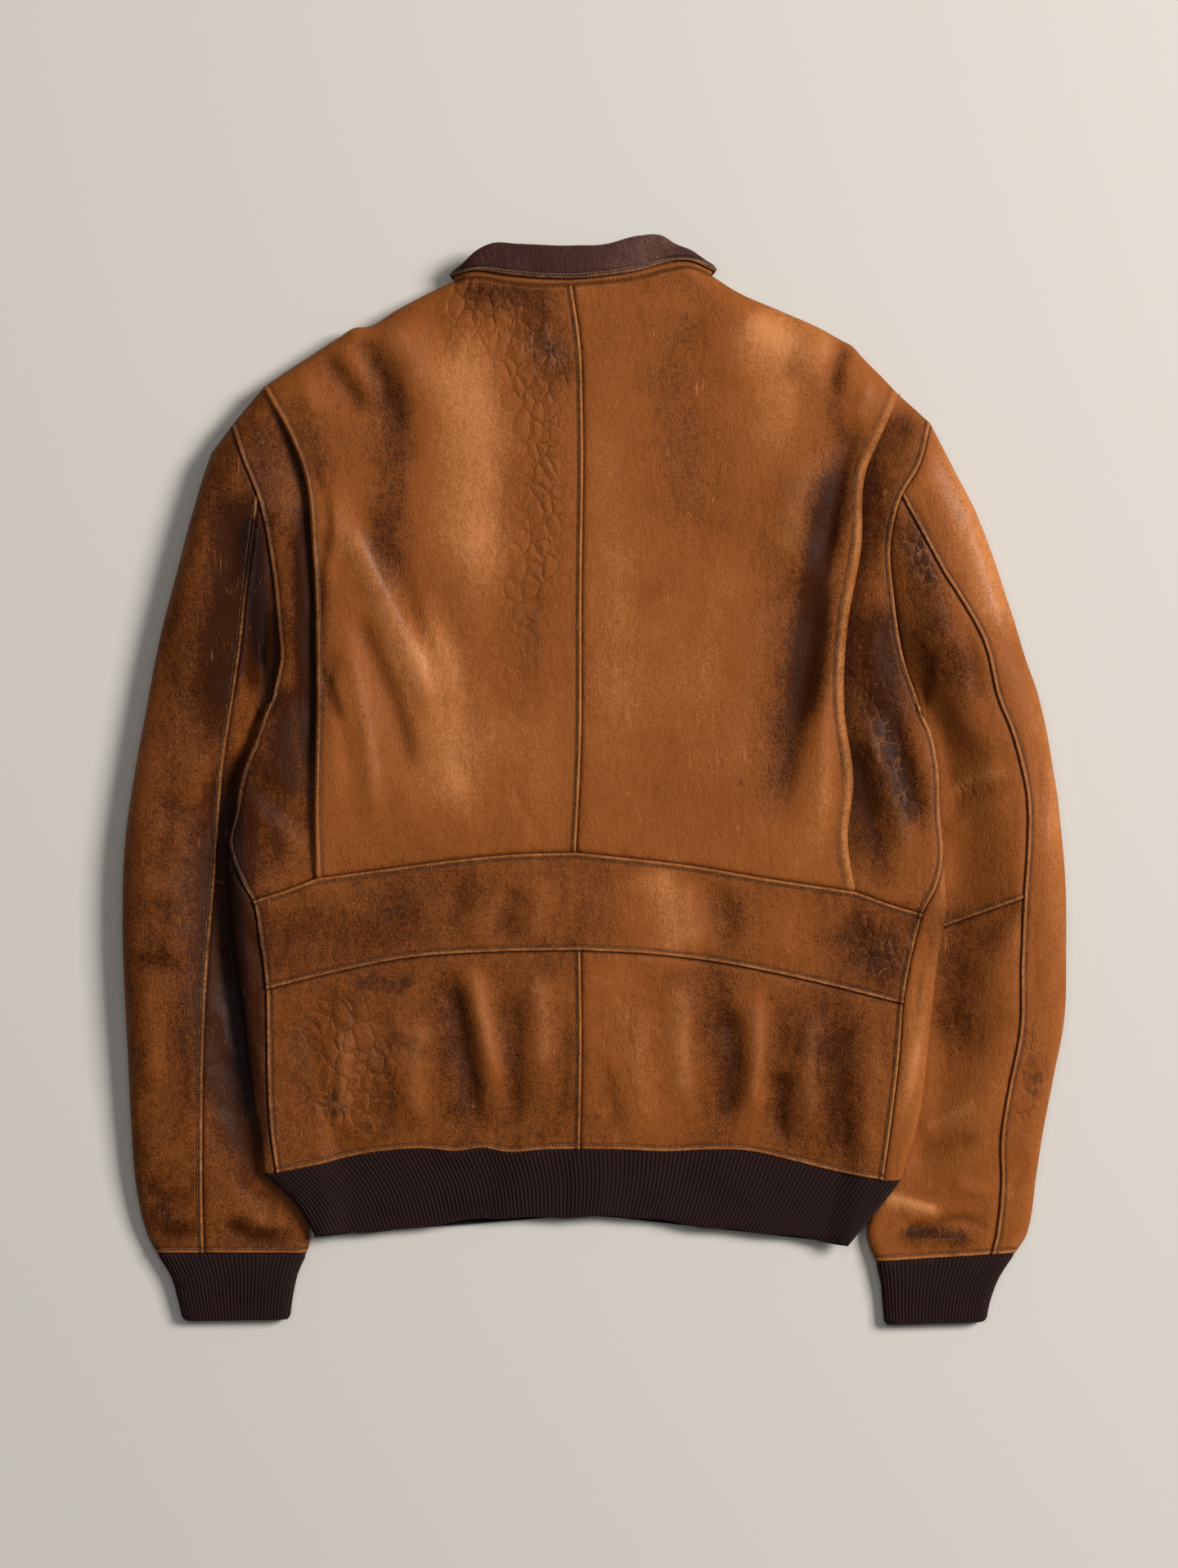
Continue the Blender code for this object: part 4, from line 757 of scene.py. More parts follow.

# %% [markdown]
# ## Where the leather has changed colour, and painted light and shade
#
# An old jacket isn't one brown. Sun, hands and rain leave broad lighter and darker places, and
# loose skin shows a net of cracks. Some lighter and darker rows are no change of colour but
# painted light: painted highlights where the leather shines, and painted shade in valleys, in
# the pleat recesses and between the sleeves and the body. These rows work like the creases: a
# line, an amount and a half width. The finish mixes them with fine noise, so none of them has a
# hard border. On the sides that face the floor they fade.

# %% Tone
# Each row: x and y of its points, amount, half width. Tone is lighter above 0, darker below
tone_and_painted_light_rows = (
    # left back panel; the row from (-124, 130) is a painted highlight and the row from (-146, 316)
    # painted shade in the shoulder's valley
    (-104, 330, -80, 262, -76, 180, -80, 100, .48, 30), (-124, 130, -96, 50, -104, -50, .42, 34),
    (-146, 316, -134, 270, -136, 200, -146, 110, -.32, 16),
    (-180, 230, -158, 140, -128, 70, .2, 11), (-100, 338, -56, 338, -14, 330, -.36, 12),
    (-50, 326, -28, 300, -20, 258, -.24, 18), (-206, 272, -196, 240, -186, 200, -.2, 12),
    (-176, 60, -172, 0, -164, -60, .1, 12), (-34, 156, -42, 110, -36, 50, -.12, 16),
    (-50, 60, -40, 0, -44, -50, .22, 26), (-186, 160, -186, 90, -190, 0, -.22, 6),
    (-150, 200, -152, 150, -146, 110, -.12, 9),
    # right back panel; the dark rows from (170, 254) and (166, 230) are painted shade in the long
    # valley beside the pleat
    (6, 300, 14, 180, 18, 60, 14, -50, .2, 26), (70, 350, 60, 280, 70, 150, -.15, 30),
    (118, 330, 132, 270, 124, 210, .3, 20), (170, 254, 154, 170, 138, 90, 126, -70, -.24, 30),
    (166, 230, 156, 130, 148, 10, -.44, 10), (96, 180, 80, 90, 76, -30, .2, 24),
    (60, 150, 40, 130, 30, 150, -.12, 14), (160, 60, 158, -20, 150, -76, .2, 12),
    (176, 306, 168, 270, 170, 226, -.24, 9), (176, 296, 140, 300, 96, 326, .36, 16),
    (20, 342, 50, 346, 76, 346, -.1, 8),
    # gussets; the dark row along x = -198 is painted shade in the left pleat's recess
    (-240, 262, -228, 214, -218, 150, -.2, 12), (-200, 200, -198, 100, -197, 0, -.75, 6),
    (-216, 70, -213, 20, -206, -20, -.5, 10), (-234, 30, -224, -20, -210, -70, -.3, 12),
    (-240, 6, -228, -4, -214, -16, .2, 7), (222, 262, 206, 222, 196, 176, -.2, 12),
    (190, 200, 194, 150, 198, 100, -.06, 9), (192, 140, 202, 50, 226, -60, -.5, 17),
    (182, 40, 190, -20, 206, -84, -.3, 11),
    # belt; the light row from (40, -50) is a painted highlight
    (-250, -106, -180, -100, -96, -86, -.16, 22), (-104, -70, -76, -86, -64, -116, -.06, 18),
    (-40, -60, -30, -90, -34, -116, .06, 10), (40, -50, 54, -90, 66, -132, .56, 20),
    (88, -72, 98, -100, 92, -126, -.06, 12), (128, -80, 140, -104, 146, -130, .06, 15),
    (166, -90, 198, -116, 212, -150, -.2, 22),
    # below the belt; the light rows from (0, -110) and (228, -96) are painted highlights
    (-200, -150, -190, -200, -180, -256, .04, 26), (-106, -110, -98, -190, -90, -276, -.1, 10),
    (-82, -116, -73, -172, -60, -236, .24, 6), (-150, -140, -140, -190, -136, -240, .08, 16),
    (0, -110, 34, -190, 48, -270, .3, 24), (84, -110, 92, -196, 86, -280, -.17, 12),
    (112, -120, 114, -190, 108, -270, .1, 8), (134, -150, 134, -216, 142, -280, -.1, 14),
    (158, -130, 166, -210, 178, -290, -.22, 24), (-236, -100, -234, -160, -230, -250, -.1, 8),
    (228, -96, 225, -170, 210, -246, .4, 8),
    # left sleeve; the dark rows from (-240, 210), (-247, 30) and (-236, 196) are painted shade
    # between the sleeve and the body
    (-262, 240, -276, 180, -292, 110, -300, 60, -.08, 26),
    (-240, 210, -250, 150, -257, 80, -262, 10, -.42, 11),
    (-302, 110, -310, 40, -316, -50, .14, 15),
    (-290, 60, -284, -60, -286, -190, -290, -300, -.06, 30),
    (-300, -120, -298, -190, -296, -250, .14, 12), (-306, -290, -290, -306, -276, -312, -.26, 7),
    (-247, 30, -248, -100, -243, -200, -232, -290, -1.3, 13),
    (-258, -300, -236, -312, -206, -312, -.3, 7), (-236, 196, -232, 130, -228, 56, -1.6, 8),
    # right sleeve
    (238, 246, 256, 200, 276, 130, 292, 80, .46, 22),
    (212, 204, 226, 150, 246, 90, 262, 40, -.4, 18), (262, 90, 276, 40, 286, 0, -.1, 14),
    (300, 90, 314, 10, 320, -80, 318, -160, .2, 12), (240, -14, 268, 4, 296, 4, .3, 7),
    (244, -66, 254, -130, 246, -210, -.34, 24), (304, -170, 308, -210, 298, -256, .04, 12),
    (282, -190, 270, -230, 262, -276, .14, 14), (198, -286, 220, -293, 246, -299, .62, 5),
    (206, -312, 240, -314, 272, -319, -.46, 6), (290, -262, 288, -300, 290, -326, .16, 8),
    (290, 0, 290, -60, 286, -120, -.12, 10))
print("lighter and darker places", len(tone_and_painted_light_rows))

# %% Cracks and stains
# Nets of cracks, from 0 to 1 and more
crack_rows = (
    (-112, 344, -54, 322, -20, 254, 1.2, 26), (-42, 300, -34, 200, -38, 90, .95, 19),
    (-60, 160, -54, 90, -44, 20, .35, 13), (-188, -138, -158, -190, -150, -250, 1.1, 30),
    (-200, -216, -170, -236, -130, -250, .5, 12), (180, -86, 200, -114, 212, -150, .9, 16),
    (210, 196, 224, 160, 246, 110, 1.0, 10), (244, -8, 272, -4, 294, -8, .4, 8),
    (300, -160, 304, -200, 296, -250, .8, 11), (186, 110, 202, 40, 228, -56, .6, 15),
    (26, -130, 34, -200, 28, -250, .35, 20), (-200, 262, -190, 230, -182, 190, .5, 10))
# Plum and dark stains
stain_rows = (
    (-176, -138, -140, -140, -116, -136, .8, 9), (-186, -214, -176, -224, -168, -232, .9, 9),
    (-150, -170, -128, -180, -110, -196, .6, 12), (-204, -160, -200, -200, -196, -230, .5, 12),
    (-256, 70, -255, 66, -254, 62, 1.0, 5), (99, 1, 101, 0, 103, -1, 1.1, 4),
    (87, 15, 89, 14, 91, 13, .7, 4), (-44, 312, -28, 296, -20, 282, .7, 12),
    (-36, 124, -42, 108, -44, 96, .5, 7), (-26, 214, -24, 206, -24, 196, .5, 5),
    (216, 180, 228, 152, 236, 128, .7, 10), (186, 60, 206, 16, 226, -40, .5, 14),
    (-250, -120, -246, -190, -236, -262, .45, 13), (300, -180, 304, -206, 300, -226, .6, 10),
    (190, -110, 200, -124, 204, -138, .6, 13), (126, -154, 136, -160, 142, -164, .5, 8),
    (-80, -240, -50, -246, -20, -246, .4, 8), (214, -310, 240, -314, 262, -316, .7, 5))


# %% Marks of a panel
# The share of the marks that is left where a panel faces the floor
hidden_share = 0.3
# How light each kind of panel is as a whole: two hides never match
panel_tone = {"back": {"left": -0.04, "right": 0.0}, "gusset": {"left": -0.19, "right": -0.06},
              "lower": {"left": -0.19, "right": -0.16}, "sleeve": {"left": -0.26, "right": 0.0}}
belt_tone = -0.18


def marks_of(grid, worn, thread, creases, base=0.0):
    """Numbers on the points for the finish, from how worn they are to how stained. The tone and
    crease numbers also carry painted highlights and painted shade.
    """
    x, y = grid[..., 0], grid[..., 1]
    share = hidden_share + (1 - hidden_share) * ease((grid[..., 2] - 4) / 5)
    return {"worn": worn, "thread": thread, "crease": creased(creases, x, y) / 4,
            "tone": base + share * creased(tone_and_painted_light_rows, x, y),
            "crack": share * np.clip(creased(crack_rows, x, y), 0, 1),
            "stain": share * creased(stain_rows, x, y)}


print("how light the panels are", panel_tone)


# %% [markdown]
# ## The two upper back panels
#
# The back is cut in two and joined down the centre. On the real jacket the left panel laps over
# the right, so its edge gets the roll. Each free side edge rolls over into a deep pleat that
# lets the arms swing forward. The roll there is a quarter ellipse that drops into the recess.

# %% Back panels
pleat_clear = 3.0
pleat_stitch_inset = {"left": 4.2, "right": 7.0}
pleat_line = {name: fine(pleat[name]) for name in sign}
belt_top_line = {name: fine(belt_top[name]) for name in sign}
belt_end_line = {name: fine(belt_top_end[name], 60) for name in sign}
centre_line = fine(centre_seam)


def raise_to(plan, height):
    return np.concatenate((plan, height(plan[..., 0], plan[..., 1])[..., None]), axis=-1)


def back_panel(name):
    top = join(fine(neck[name]), fine(shoulder[name]))
    free = pleat_line[name]
    plan = patch(top, belt_top_line[name], centre_line, free[:, :2])
    grid = raise_to(plan, upper)
    x, y = plan[..., 0], plan[..., 1]
    gap, share, left = nearest(free, x, y)
    row = at_shares(free, share)
    drop = np.maximum(row[..., 3] - pleat_clear, 0)
    grid[..., 2] -= drop * (1 - dome(gap / np.maximum(row[..., 2], 0.5)))
    seams = [(centre_line, "roll" if name == "left" else "under"), (belt_top_line[name], "under"),
             (fine(neck[name]), "under")]
    worn, thread = add_seams(grid, seams)
    inner = pleat_stitch_inset[name]
    crest = np.exp(-np.abs((gap - 0.42 * inner) / (0.42 * inner)) ** 2.6)
    grid[..., 2] += 0.9 * crest - 0.45 * np.exp(-((gap - inner) / 0.9) ** 2)
    grid[..., 2] += puckers(share, length_of(free), np.abs(gap - inner) + 1, 0.2)
    worn = np.maximum(worn, 0.9 * crest)
    thread = np.maximum(thread, np.exp(-((gap - inner) / 0.9) ** 2))
    return grid, marks_of(grid, worn, thread, back_creases, panel_tone["back"][name])


back_grids = {name: back_panel(name) for name in sign}
for name, (grid, marks) in back_grids.items():
    piece = sheet_of(f"upper_back_{name}", [grid], body_inside, leather_wall, [marks])
    fit(piece, f"back_{name}", flat_cut(grid))

# %% [markdown]
# ## Gussets
#
# A gusset is the narrow panel that fills the pleat. Its inner edge runs in under the back panel,
# deep in the recess, and its outer edge is sewn to the sleeve. Lower down it reaches the side
# seam. Its height starts from the back's and sinks towards the recess.

# %% Gussets
pleat_underlap = 15.0
armpit_notch = 0.3
armpit_reach = 14
side_seam = {name: fine([(seam, y) for y, fold, seam in side[name]], 160) for name in sign}
armhole_line = {name: fine(armhole[name]) for name in sign}


def cut_between(line, top_y, bottom_y):
    """The stretch of a line, going down, between two heights on the plan."""
    keep = line[(line[:, 1] < top_y) & (line[:, 1] > bottom_y)]
    ends = [(np.interp(-y, -line[:, 1], line[:, 0]), y) for y in (top_y, bottom_y)]
    return np.concatenate((ends[:1], keep, ends[1:]))


def stand_back(name, line, amount):
    """Moves points near the armpit's corner towards the body."""
    reach = np.linalg.norm(line - armpit[name], axis=1)
    moved = line.copy()
    moved[:, 0] -= sign[name] * amount * np.exp(-(reach / armpit_reach) ** 2)
    return moved


def gusset(name):
    outer_side = cut_between(side_seam[name], side[name][0][0] - 0.01, belt_end_line[name][-1, 1])
    outer = stand_back(name, np.concatenate((armhole_line[name], outer_side)), armpit_notch)
    free = pleat_line[name]
    plan = patch(fine(shoulder_end[name]), belt_end_line[name], free[:, :2], outer)
    grid = raise_to(plan, upper)
    x, y = plan[..., 0], plan[..., 1]
    to_pleat, share, left = nearest(free, x, y)
    to_outer = distance(outer, x, y)
    across = to_pleat / np.maximum(to_pleat + to_outer, 1e-6)
    depth = np.maximum(at_shares(free, share)[..., 3], 0)
    grid[..., 2] -= depth * (1 - across) ** 1.2
    edge_height = table_value(armhole_edge[name], nearest(armhole_line[name], x, y)[1])
    down = ease((armpit[name][1] + 4 - y) / 18)
    drop = np.maximum(grid[..., 2] - edge_height, 0) * (1 - down)
    grid[..., 2] -= drop * across ** 2.2
    seams = [(armhole_line[name], "roll"), (belt_end_line[name], "under"),
             (side_seam[name], "roll")]
    worn, thread = add_seams(grid, seams, pucker=0.12)
    tucked = np.clip((depth[:, :1] - pleat_clear - 2) / 2, 0, 1)
    outward = unit(plan[:, 1:2] - plan[:, :1])
    rows = []
    for reach in (1.0, 0.66, 0.33):
        strip = grid[:, :1].copy()
        strip[..., :2] -= outward * (reach * pleat_underlap * tucked + 0.02 * reach)[..., None]
        rows.append(strip)
    whole = np.concatenate(rows + [grid], axis=1)
    fill = np.zeros((grid.shape[0], 3))
    marks = marks_of(whole, np.concatenate((fill, worn), 1), np.concatenate((fill, thread), 1),
                     back_creases, panel_tone["gusset"][name])
    # the colour is darkened deep in the pleat recess through a lowered crease number: painted
    # shade
    deep = np.exp(-(np.concatenate((fill, to_pleat), 1) / 9) ** 2)
    marks["crease"] = marks["crease"] - 1.1 * deep * np.concatenate((depth[:, :3], depth), 1) / 8
    return whole, marks


gusset_grids = {name: gusset(name) for name in sign}
for name, (grid, marks) in gusset_grids.items():
    piece = sheet_of(f"pleat_gusset_{name}", [grid], body_inside, leather_wall, [marks])
    fit(piece, f"gusset_{name}", flat_cut(grid))

# %% [markdown]
# ## Belt and lower back
#
# A separate strip crosses the back at the waist and laps over its neighbours above and below, so
# both its edges are rolled and stitched. Two panels below it are gathered into the knitted hem.

# %% Belt and lower panels
belt_bottom_line = {name: fine(belt_bottom[name]) for name in sign}
hem_line = {name: fine(hem[name]) for name in sign}
lower_centre = fine(lower_centre_seam)


def waist_belt():
    top = join(belt_end_line["left"][::-1], belt_top_line["left"][::-1], belt_top_line["right"],
               belt_end_line["right"])
    bottom = join(belt_bottom_line["left"][::-1], belt_bottom_line["right"])
    ends = [cut_between(side_seam[name], belt_end_line[name][-1, 1], belt_bottom[name][-1][1])
            for name in sign]
    grid = raise_to(patch(top, bottom, *ends), upper)
    seams = [(top, "roll"), (bottom, "roll"), (ends[0], "roll"), (ends[1], "roll")]
    worn, thread = add_seams(grid, seams, roll_height=0.9)
    return grid, marks_of(grid, worn, thread, back_creases, belt_tone)


def lower_back(name):
    outer = cut_between(side_seam[name], belt_bottom[name][-1][1], hem[name][-1][1])
    grid = raise_to(patch(belt_bottom_line[name], hem_line[name], lower_centre, outer), upper)
    seams = [(belt_bottom_line[name], "under"), (hem_line[name], "roll"), (outer, "roll"),
             (lower_centre, "roll" if name == "left" else "under")]
    worn, thread = add_seams(grid, seams, pucker=0.22)
    return grid, marks_of(grid, worn, thread, back_creases, panel_tone["lower"][name])


belt_grid, belt_marks = waist_belt()
fit(sheet_of("back_belt", [belt_grid], body_inside, leather_wall, [belt_marks]), "waist_belt",
    flat_cut(belt_grid))
lower_grids = {name: lower_back(name) for name in sign}
for name, (grid, marks) in lower_grids.items():
    piece = sheet_of(f"lower_panel_{name}", [grid], body_inside, leather_wall, [marks])
    fit(piece, f"lower_back_{name}", flat_cut(grid))

# %% [markdown]
# ## Fronts
#
# The fronts lie underneath, flat on the floor. Each one turns up round the side fold and is sewn
# to the back there, a little way in from the edge. One sheet covers both parts: a flat grid up
# to the fold, and a narrow grid round it.

# %% Fronts
turn_shares = np.concatenate(((0, .015, .04, .075, .12, .18, .25, .33), np.linspace(.42, 1, 12)))


def front(name):
    top = join(fine(front_neck[name]), fine(shoulder[name]), fine(shoulder_end[name]))
    bottom = fine(front_hem[name])
    fold = fold_line[name]
    outer = np.concatenate((stand_back(name, armhole_line[name], armpit_notch), fold))
    edge_x = zip_x + sign[name] * zip_half
    centre = fine(((edge_x, top[0, 1]), (edge_x, bottom[0, 1])))
    flat = raise_to(patch(top, bottom, centre, outer, 5.0), lower)
    folded = flat[flat[:, -1, 1] <= fold[0, 1], -1]
    seam_x = np.interp(-folded[:, 1], -side_seam[name][:, 1], side_seam[name][:, 0])
    seam = np.stack((seam_x, folded[:, 1]), axis=-1)
    across = turn_shares[None, :, None]
    wrap = raise_to((1 - across) * folded[:, None, :2] + across * seam[:, None], upper)
    worn, thread = add_seams(wrap, [(seam, "under")], pucker=0.1)
    wrap[:, 0] = folded
    rubbed = 0.45 * np.exp(-(distance(fold, wrap[..., 0], wrap[..., 1]) / 3) ** 2)
    blank = np.zeros(flat.shape[:2])
    marks = [marks_of(flat, blank, blank, front_creases),
             marks_of(wrap, np.maximum(worn, rubbed), thread, back_creases,
                      panel_tone["sleeve"][name])]
    return [flat, wrap], marks


front_grids = {}
for name in sign:
    front_grids[name], marks = front(name)
    piece = sheet_of(f"jacket_front_{name}", front_grids[name], body_inside, leather_wall, marks)
    cut, turned = (flat_cut(grid) for grid in front_grids[name])
    fit(piece, f"front_{name}", (cut[0] + turned[0], cut[1], cut[2] + turned[2]))

# %% [markdown]
# ## Sleeves
#
# A sleeve is a flattened tube of two pieces. The wide top sleeve runs from the back seam out
# round the fold and on under the arm. The narrow under sleeve closes the tube and is cut at the
# elbow. Both are read from the same sections: a share along each section says where a point
# lies, and a place between two rows of the table says which section it belongs to.

# %% Sleeve sections
armhole_tuck = 1.8
columns_beside_seam = {"left": (14, 18), "right": (6, 28)}
seam_places = np.array((0, .12, .35, .7, 1.15, 1.65, 2.2, 2.8, 3.4, 4.2, 5.4, 7))


def section_at(name, place):
    table = np.array(sleeve[name], float)
    return spline(np.arange(len(table)), table, np.array([place], float))[0]


def round_places(line, reach, plan, share, steps):
    """Shares where a folded edge needs points, crowded towards the edge."""
    gap = np.maximum.accumulate(distance(line, plan[:, 0], plan[:, 1]))
    turn = 1 - np.cos(np.linspace(0, math.pi / 2, steps + 1))
    return np.interp(turn * reach, gap, share)


def section_shares(name, row):
    """Shares across a section: outer fold to seam, seam to inner fold, and the lower side."""
    share = np.linspace(0, 1, 301)
    plan = (1 - share[:, None]) * row[0:2] + share[:, None] * row[2:4]
    width = math.hypot(*(row[2:4] - row[0:2]))
    outer = round_places(outer_line[name], row[4] * fold_shape, plan[:120], share[:120], 9)
    inner = 1 - round_places(inner_line[name], row[8] * fold_shape, plan[:180:-1],
                             share[:120], 7)[::-1]
    seam = row[5]
    before = seam - seam_places[::-1] / width
    after = seam + seam_places / width
    outer = outer * min(1, 0.9 * before[0] / outer[-1])
    first, second = columns_beside_seam[name]
    top = np.concatenate((outer, np.linspace(outer[-1], before[0], first)[1:], before[1:]))
    under = np.concatenate((after, np.linspace(after[-1], inner[0], second)[1:], inner[1:]))
    down = np.concatenate((outer, np.linspace(outer[-1], underarm_share, 16)[1:],
                           np.linspace(underarm_share, inner[0], 4)[1:], inner[1:]))
    return top, under, down


def sleeve_heights(name, row, plan, share):
    """Upper and lower height of a section at points of its line, given their shares of it."""
    x, y = plan[:, 0], plan[:, 1]
    loft, tuck = row[4], row[8]
    level = tuck + (loft - tuck) * (1 - ease((share - row[6]) / (row[7] - row[6])))
    half = np.where(share < 0.5, loft, tuck) / 2
    to_outer = distance(outer_line[name], x, y)
    side_line = edges[1 if name == "left" else 2]
    clear = sign[name] * (x - np.interp(-y, -side_line[:, 1], side_line[:, 0]))
    open_air = ease((0.95 - share) / 0.2)
    open_air = np.where(y < side_line[0, 1], np.minimum(open_air, ease(clear / 7)), open_air)
    calm = ease(to_outer / 12) * open_air
    level = level + calm * (creased(sleeve_creases, x, y) + waves(x, y))
    rounded = dome(np.minimum(to_outer / (loft * fold_shape),
                              distance(inner_line[name], x, y) / (tuck * fold_shape)))
    lift = ease(to_outer / 20) * ease((0.95 - share) / 0.2) * creased(front_creases, x, y)
    top = half + (level - half) * rounded
    down = half - (half - np.clip(lift, 0, half - 0.5)) * rounded
    return top, down


def section(name, place):
    row = section_at(name, place)
    sides = []
    for number, shares in enumerate(section_shares(name, row)):
        plan = (1 - shares[:, None]) * row[0:2] + shares[:, None] * row[2:4]
        height = sleeve_heights(name, row, plan, shares)[0 if number < 2 else 1]
        sides.append(np.column_stack((plan, height)))
    return sides


def armhole_section(name, first):
    """The sleeve's first section follows the armhole, as densely as the section next to it."""
    sides = []
    for number, next_side in enumerate(first):
        share = shares_of(next_side)
        if number == 0:
            share = share * seam_share[name]
        if number == 1:
            share = seam_share[name] + share * (1 - seam_share[name])
        plan = at_shares(armhole_line[name], share)
        edge = table_value(armhole_edge[name], share)
        sag = armpit_sag * ease((share - 0.6) / 0.4)
        height = np.minimum(upper(plan[:, 0], plan[:, 1]), edge) - sag
        if number == 2:
            height = lower(plan[:, 0], plan[:, 1]) * (share < 0.5)
            height = height + 3.5 * ease((share - 0.85) / 0.15)
        sides.append(np.column_stack((stand_back(name, plan, armhole_tuck), height)))
    return sides


print("shares across a section", [len(s) for s in section_shares("left", section_at("left", 5))])

# %% Rows along the sleeves
rows_per_section = 13
rows_to_armhole = 8


def sleeve_places(name):
    """Stations along the arm, crowded beside the elbow seam and at the cuff."""
    last = len(sleeve[name]) - 1
    apart = np.linalg.norm(np.diff(np.array(sleeve[name])[:, 0:2], axis=0), axis=1)
    places = np.linspace(0, last, rows_per_section * last + 1)
    at_elbow, at_cuff = apart[elbow[name]], apart[-1]
    beside = np.concatenate((-seam_places[::-1], seam_places[1:])) / at_elbow + elbow[name]
    finish = last - seam_places[::-1] / at_cuff
    keep = (np.abs(places - elbow[name]) > 7.5 / at_elbow) & (places < finish[0] - 0.03)
    return np.sort(np.concatenate((places[keep], beside, finish)))


def sleeve_tube(name):
    """Three grids: outer fold to back seam, back seam to inner fold, and the lower side."""
    places = sleeve_places(name)
    rows = [section(name, place) for place in places]
    start = armhole_section(name, rows[0])
    grids = []
    for number in range(3):
        grid = np.array([row[number] for row in rows])
        steps = np.concatenate((seam_places[:8] / 22, np.linspace(0.2, 1, rows_to_armhole)[:-1]))
        steps = steps[:, None, None]
        first = (1 - steps) * start[number] + steps * grid[0]
        grids.append(np.concatenate((first, grid)))
    count = len(steps)
    elbow_row = count + int(np.argmin(np.abs(places - elbow[name])))
    return grids, elbow_row


def slanted_cut(*grids):
    """The cut of a piece whose rows slant: its width is measured square to its long edges."""
    width, length, area = flat_cut(*grids)
    return min(width, 1.6 * area / length), length, area


def inner_hem(grid, line):
    """On the side that lies down, a seam only shows as a shallow groove."""
    gap = distance(line, grid[..., 0], grid[..., 1])
    grid[..., 2] += (0.5 * np.exp(-(gap / 1.3) ** 2)
                     + 0.3 * np.exp(-((gap - stitch_inset) / 0.8) ** 2))


sleeve_inside = {name: (sign[name] * 268, -60, 8) for name in sign}
tubes = {name: sleeve_tube(name) for name in sign}
back_seam = {name: tubes[name][0][0][:, -1, :2] for name in sign}
cuff_edge = {name: np.concatenate((tubes[name][0][0][-1, :, :2], tubes[name][0][1][-1, 1:, :2]))
             for name in sign}
elbow_line = {name: tubes[name][0][1][tubes[name][1], :, :2] for name in sign}
print("rows along a sleeve", [len(tubes[name][0][0]) for name in sign])

# %% Sleeve pieces
sleeve_grids = {}
for name in sign:
    (outer, inner, down), elbow_row = tubes[name]
    # the underarm seam: 3 columns and the 8 round the inner fold come after it
    split = len(section_shares(name, section_at(name, 0))[2]) - 8 - 3
    underarm_line = down[:, split, :2].copy()
    top_marks = add_seams(outer, [(back_seam[name], "roll"), (cuff_edge[name], "roll"),
                                  (armhole_line[name], "under")])
    fold_worn = 0.4 * np.exp(-(distance(outer_line[name], outer[..., 0], outer[..., 1]) / 4) ** 2)
    lower_outer = down[:, :split + 1].copy()
    lower_inner = down[:, split:].copy()
    for part in (lower_outer, lower_inner):
        inner_hem(part, underarm_line)
    lower_outer[:, 0] = outer[:, 0]
    blank = np.zeros(lower_outer.shape[:2])
    marks = [marks_of(outer, np.maximum(top_marks[0], fold_worn), top_marks[1], sleeve_creases,
                      panel_tone["sleeve"][name]),
             marks_of(lower_outer, blank + fold_worn[:, :1] * np.exp(-np.arange(split + 1) / 3),
                      blank, front_creases, panel_tone["sleeve"][name])]
    piece = sheet_of(f"top_sleeve_leather_{name}", [outer, lower_outer], sleeve_inside[name],
                     leather_wall, marks)
    fit(piece, f"top_sleeve_{name}", flat_cut(outer, lower_outer))
    sleeve_grids[name] = outer
    for part, rows in (("upper", slice(0, elbow_row + 1)), ("lower", slice(elbow_row, None))):
        above, below = inner[rows].copy(), lower_inner[rows].copy()
        seams = [(back_seam[name], "under")]
        if part == "upper":
            seams += [(elbow_line[name], "roll"), (armhole_line[name], "under")]
        else:
            seams += [(elbow_line[name], "under"), (cuff_edge[name], "roll")]
        worn, thread = add_seams(above, seams)
        below[:, -1] = above[:, -1]
        blank = np.zeros(below.shape[:2])
        marks = [marks_of(above, worn, thread, sleeve_creases, panel_tone["sleeve"][name]),
                 marks_of(below, blank, blank, front_creases, panel_tone["sleeve"][name])]
        piece = sheet_of(f"under_sleeve_{part}_{name}_leather", [above, below],
                         sleeve_inside[name], leather_wall, marks)
        fit(piece, f"under_sleeve_{part}_{name}", slanted_cut(above, below))
        sleeve_grids[name, part] = above

# %% [markdown]
# ## Knitted cuffs and hem
#
# Rib knit is a row of soft columns with deep valleys between them. The ribs here are real relief:
# the columns of the mesh are half a millimetre apart, and a rounded wave lifts them. The ribs
# run from the leather to the open edge and lean with it. Each cuff is a flat tube. The hem band
# lies in one layer under the back and turns round both folds to the fronts.

# %% Rib knit
rib_pitch = 3.1
rib_height = 1.0
rib_samples = 6
cuff_fold = 0.8
knit_tuck = 2.5
knit_rows = np.array((0, .03, .09, .2, .33, .46, .59, .72, .84, .92, .965, .99, 1))


def rib_wave(count):
    """Height of the ribs at evenly spaced columns, and how deep in a valley each lies."""
    phase = np.arange(count) / rib_samples
    slow = 0.5 * np.sin(phase * 0.37) + 0.4 * np.sin(phase * 0.113 + 2)
    wave = np.abs(np.cos(math.pi * phase)) ** 0.75
    return rib_height * (0.86 + 0.14 * slow) * wave, 1 - wave


def push_out(grid, amount):
    """Moves the points of a grid out along its normals."""
    down = np.gradient(grid, axis=0)
    across = np.gradient(grid, axis=1)
    normal = unit(np.cross(down, across))
    return grid + amount[..., None] * normal


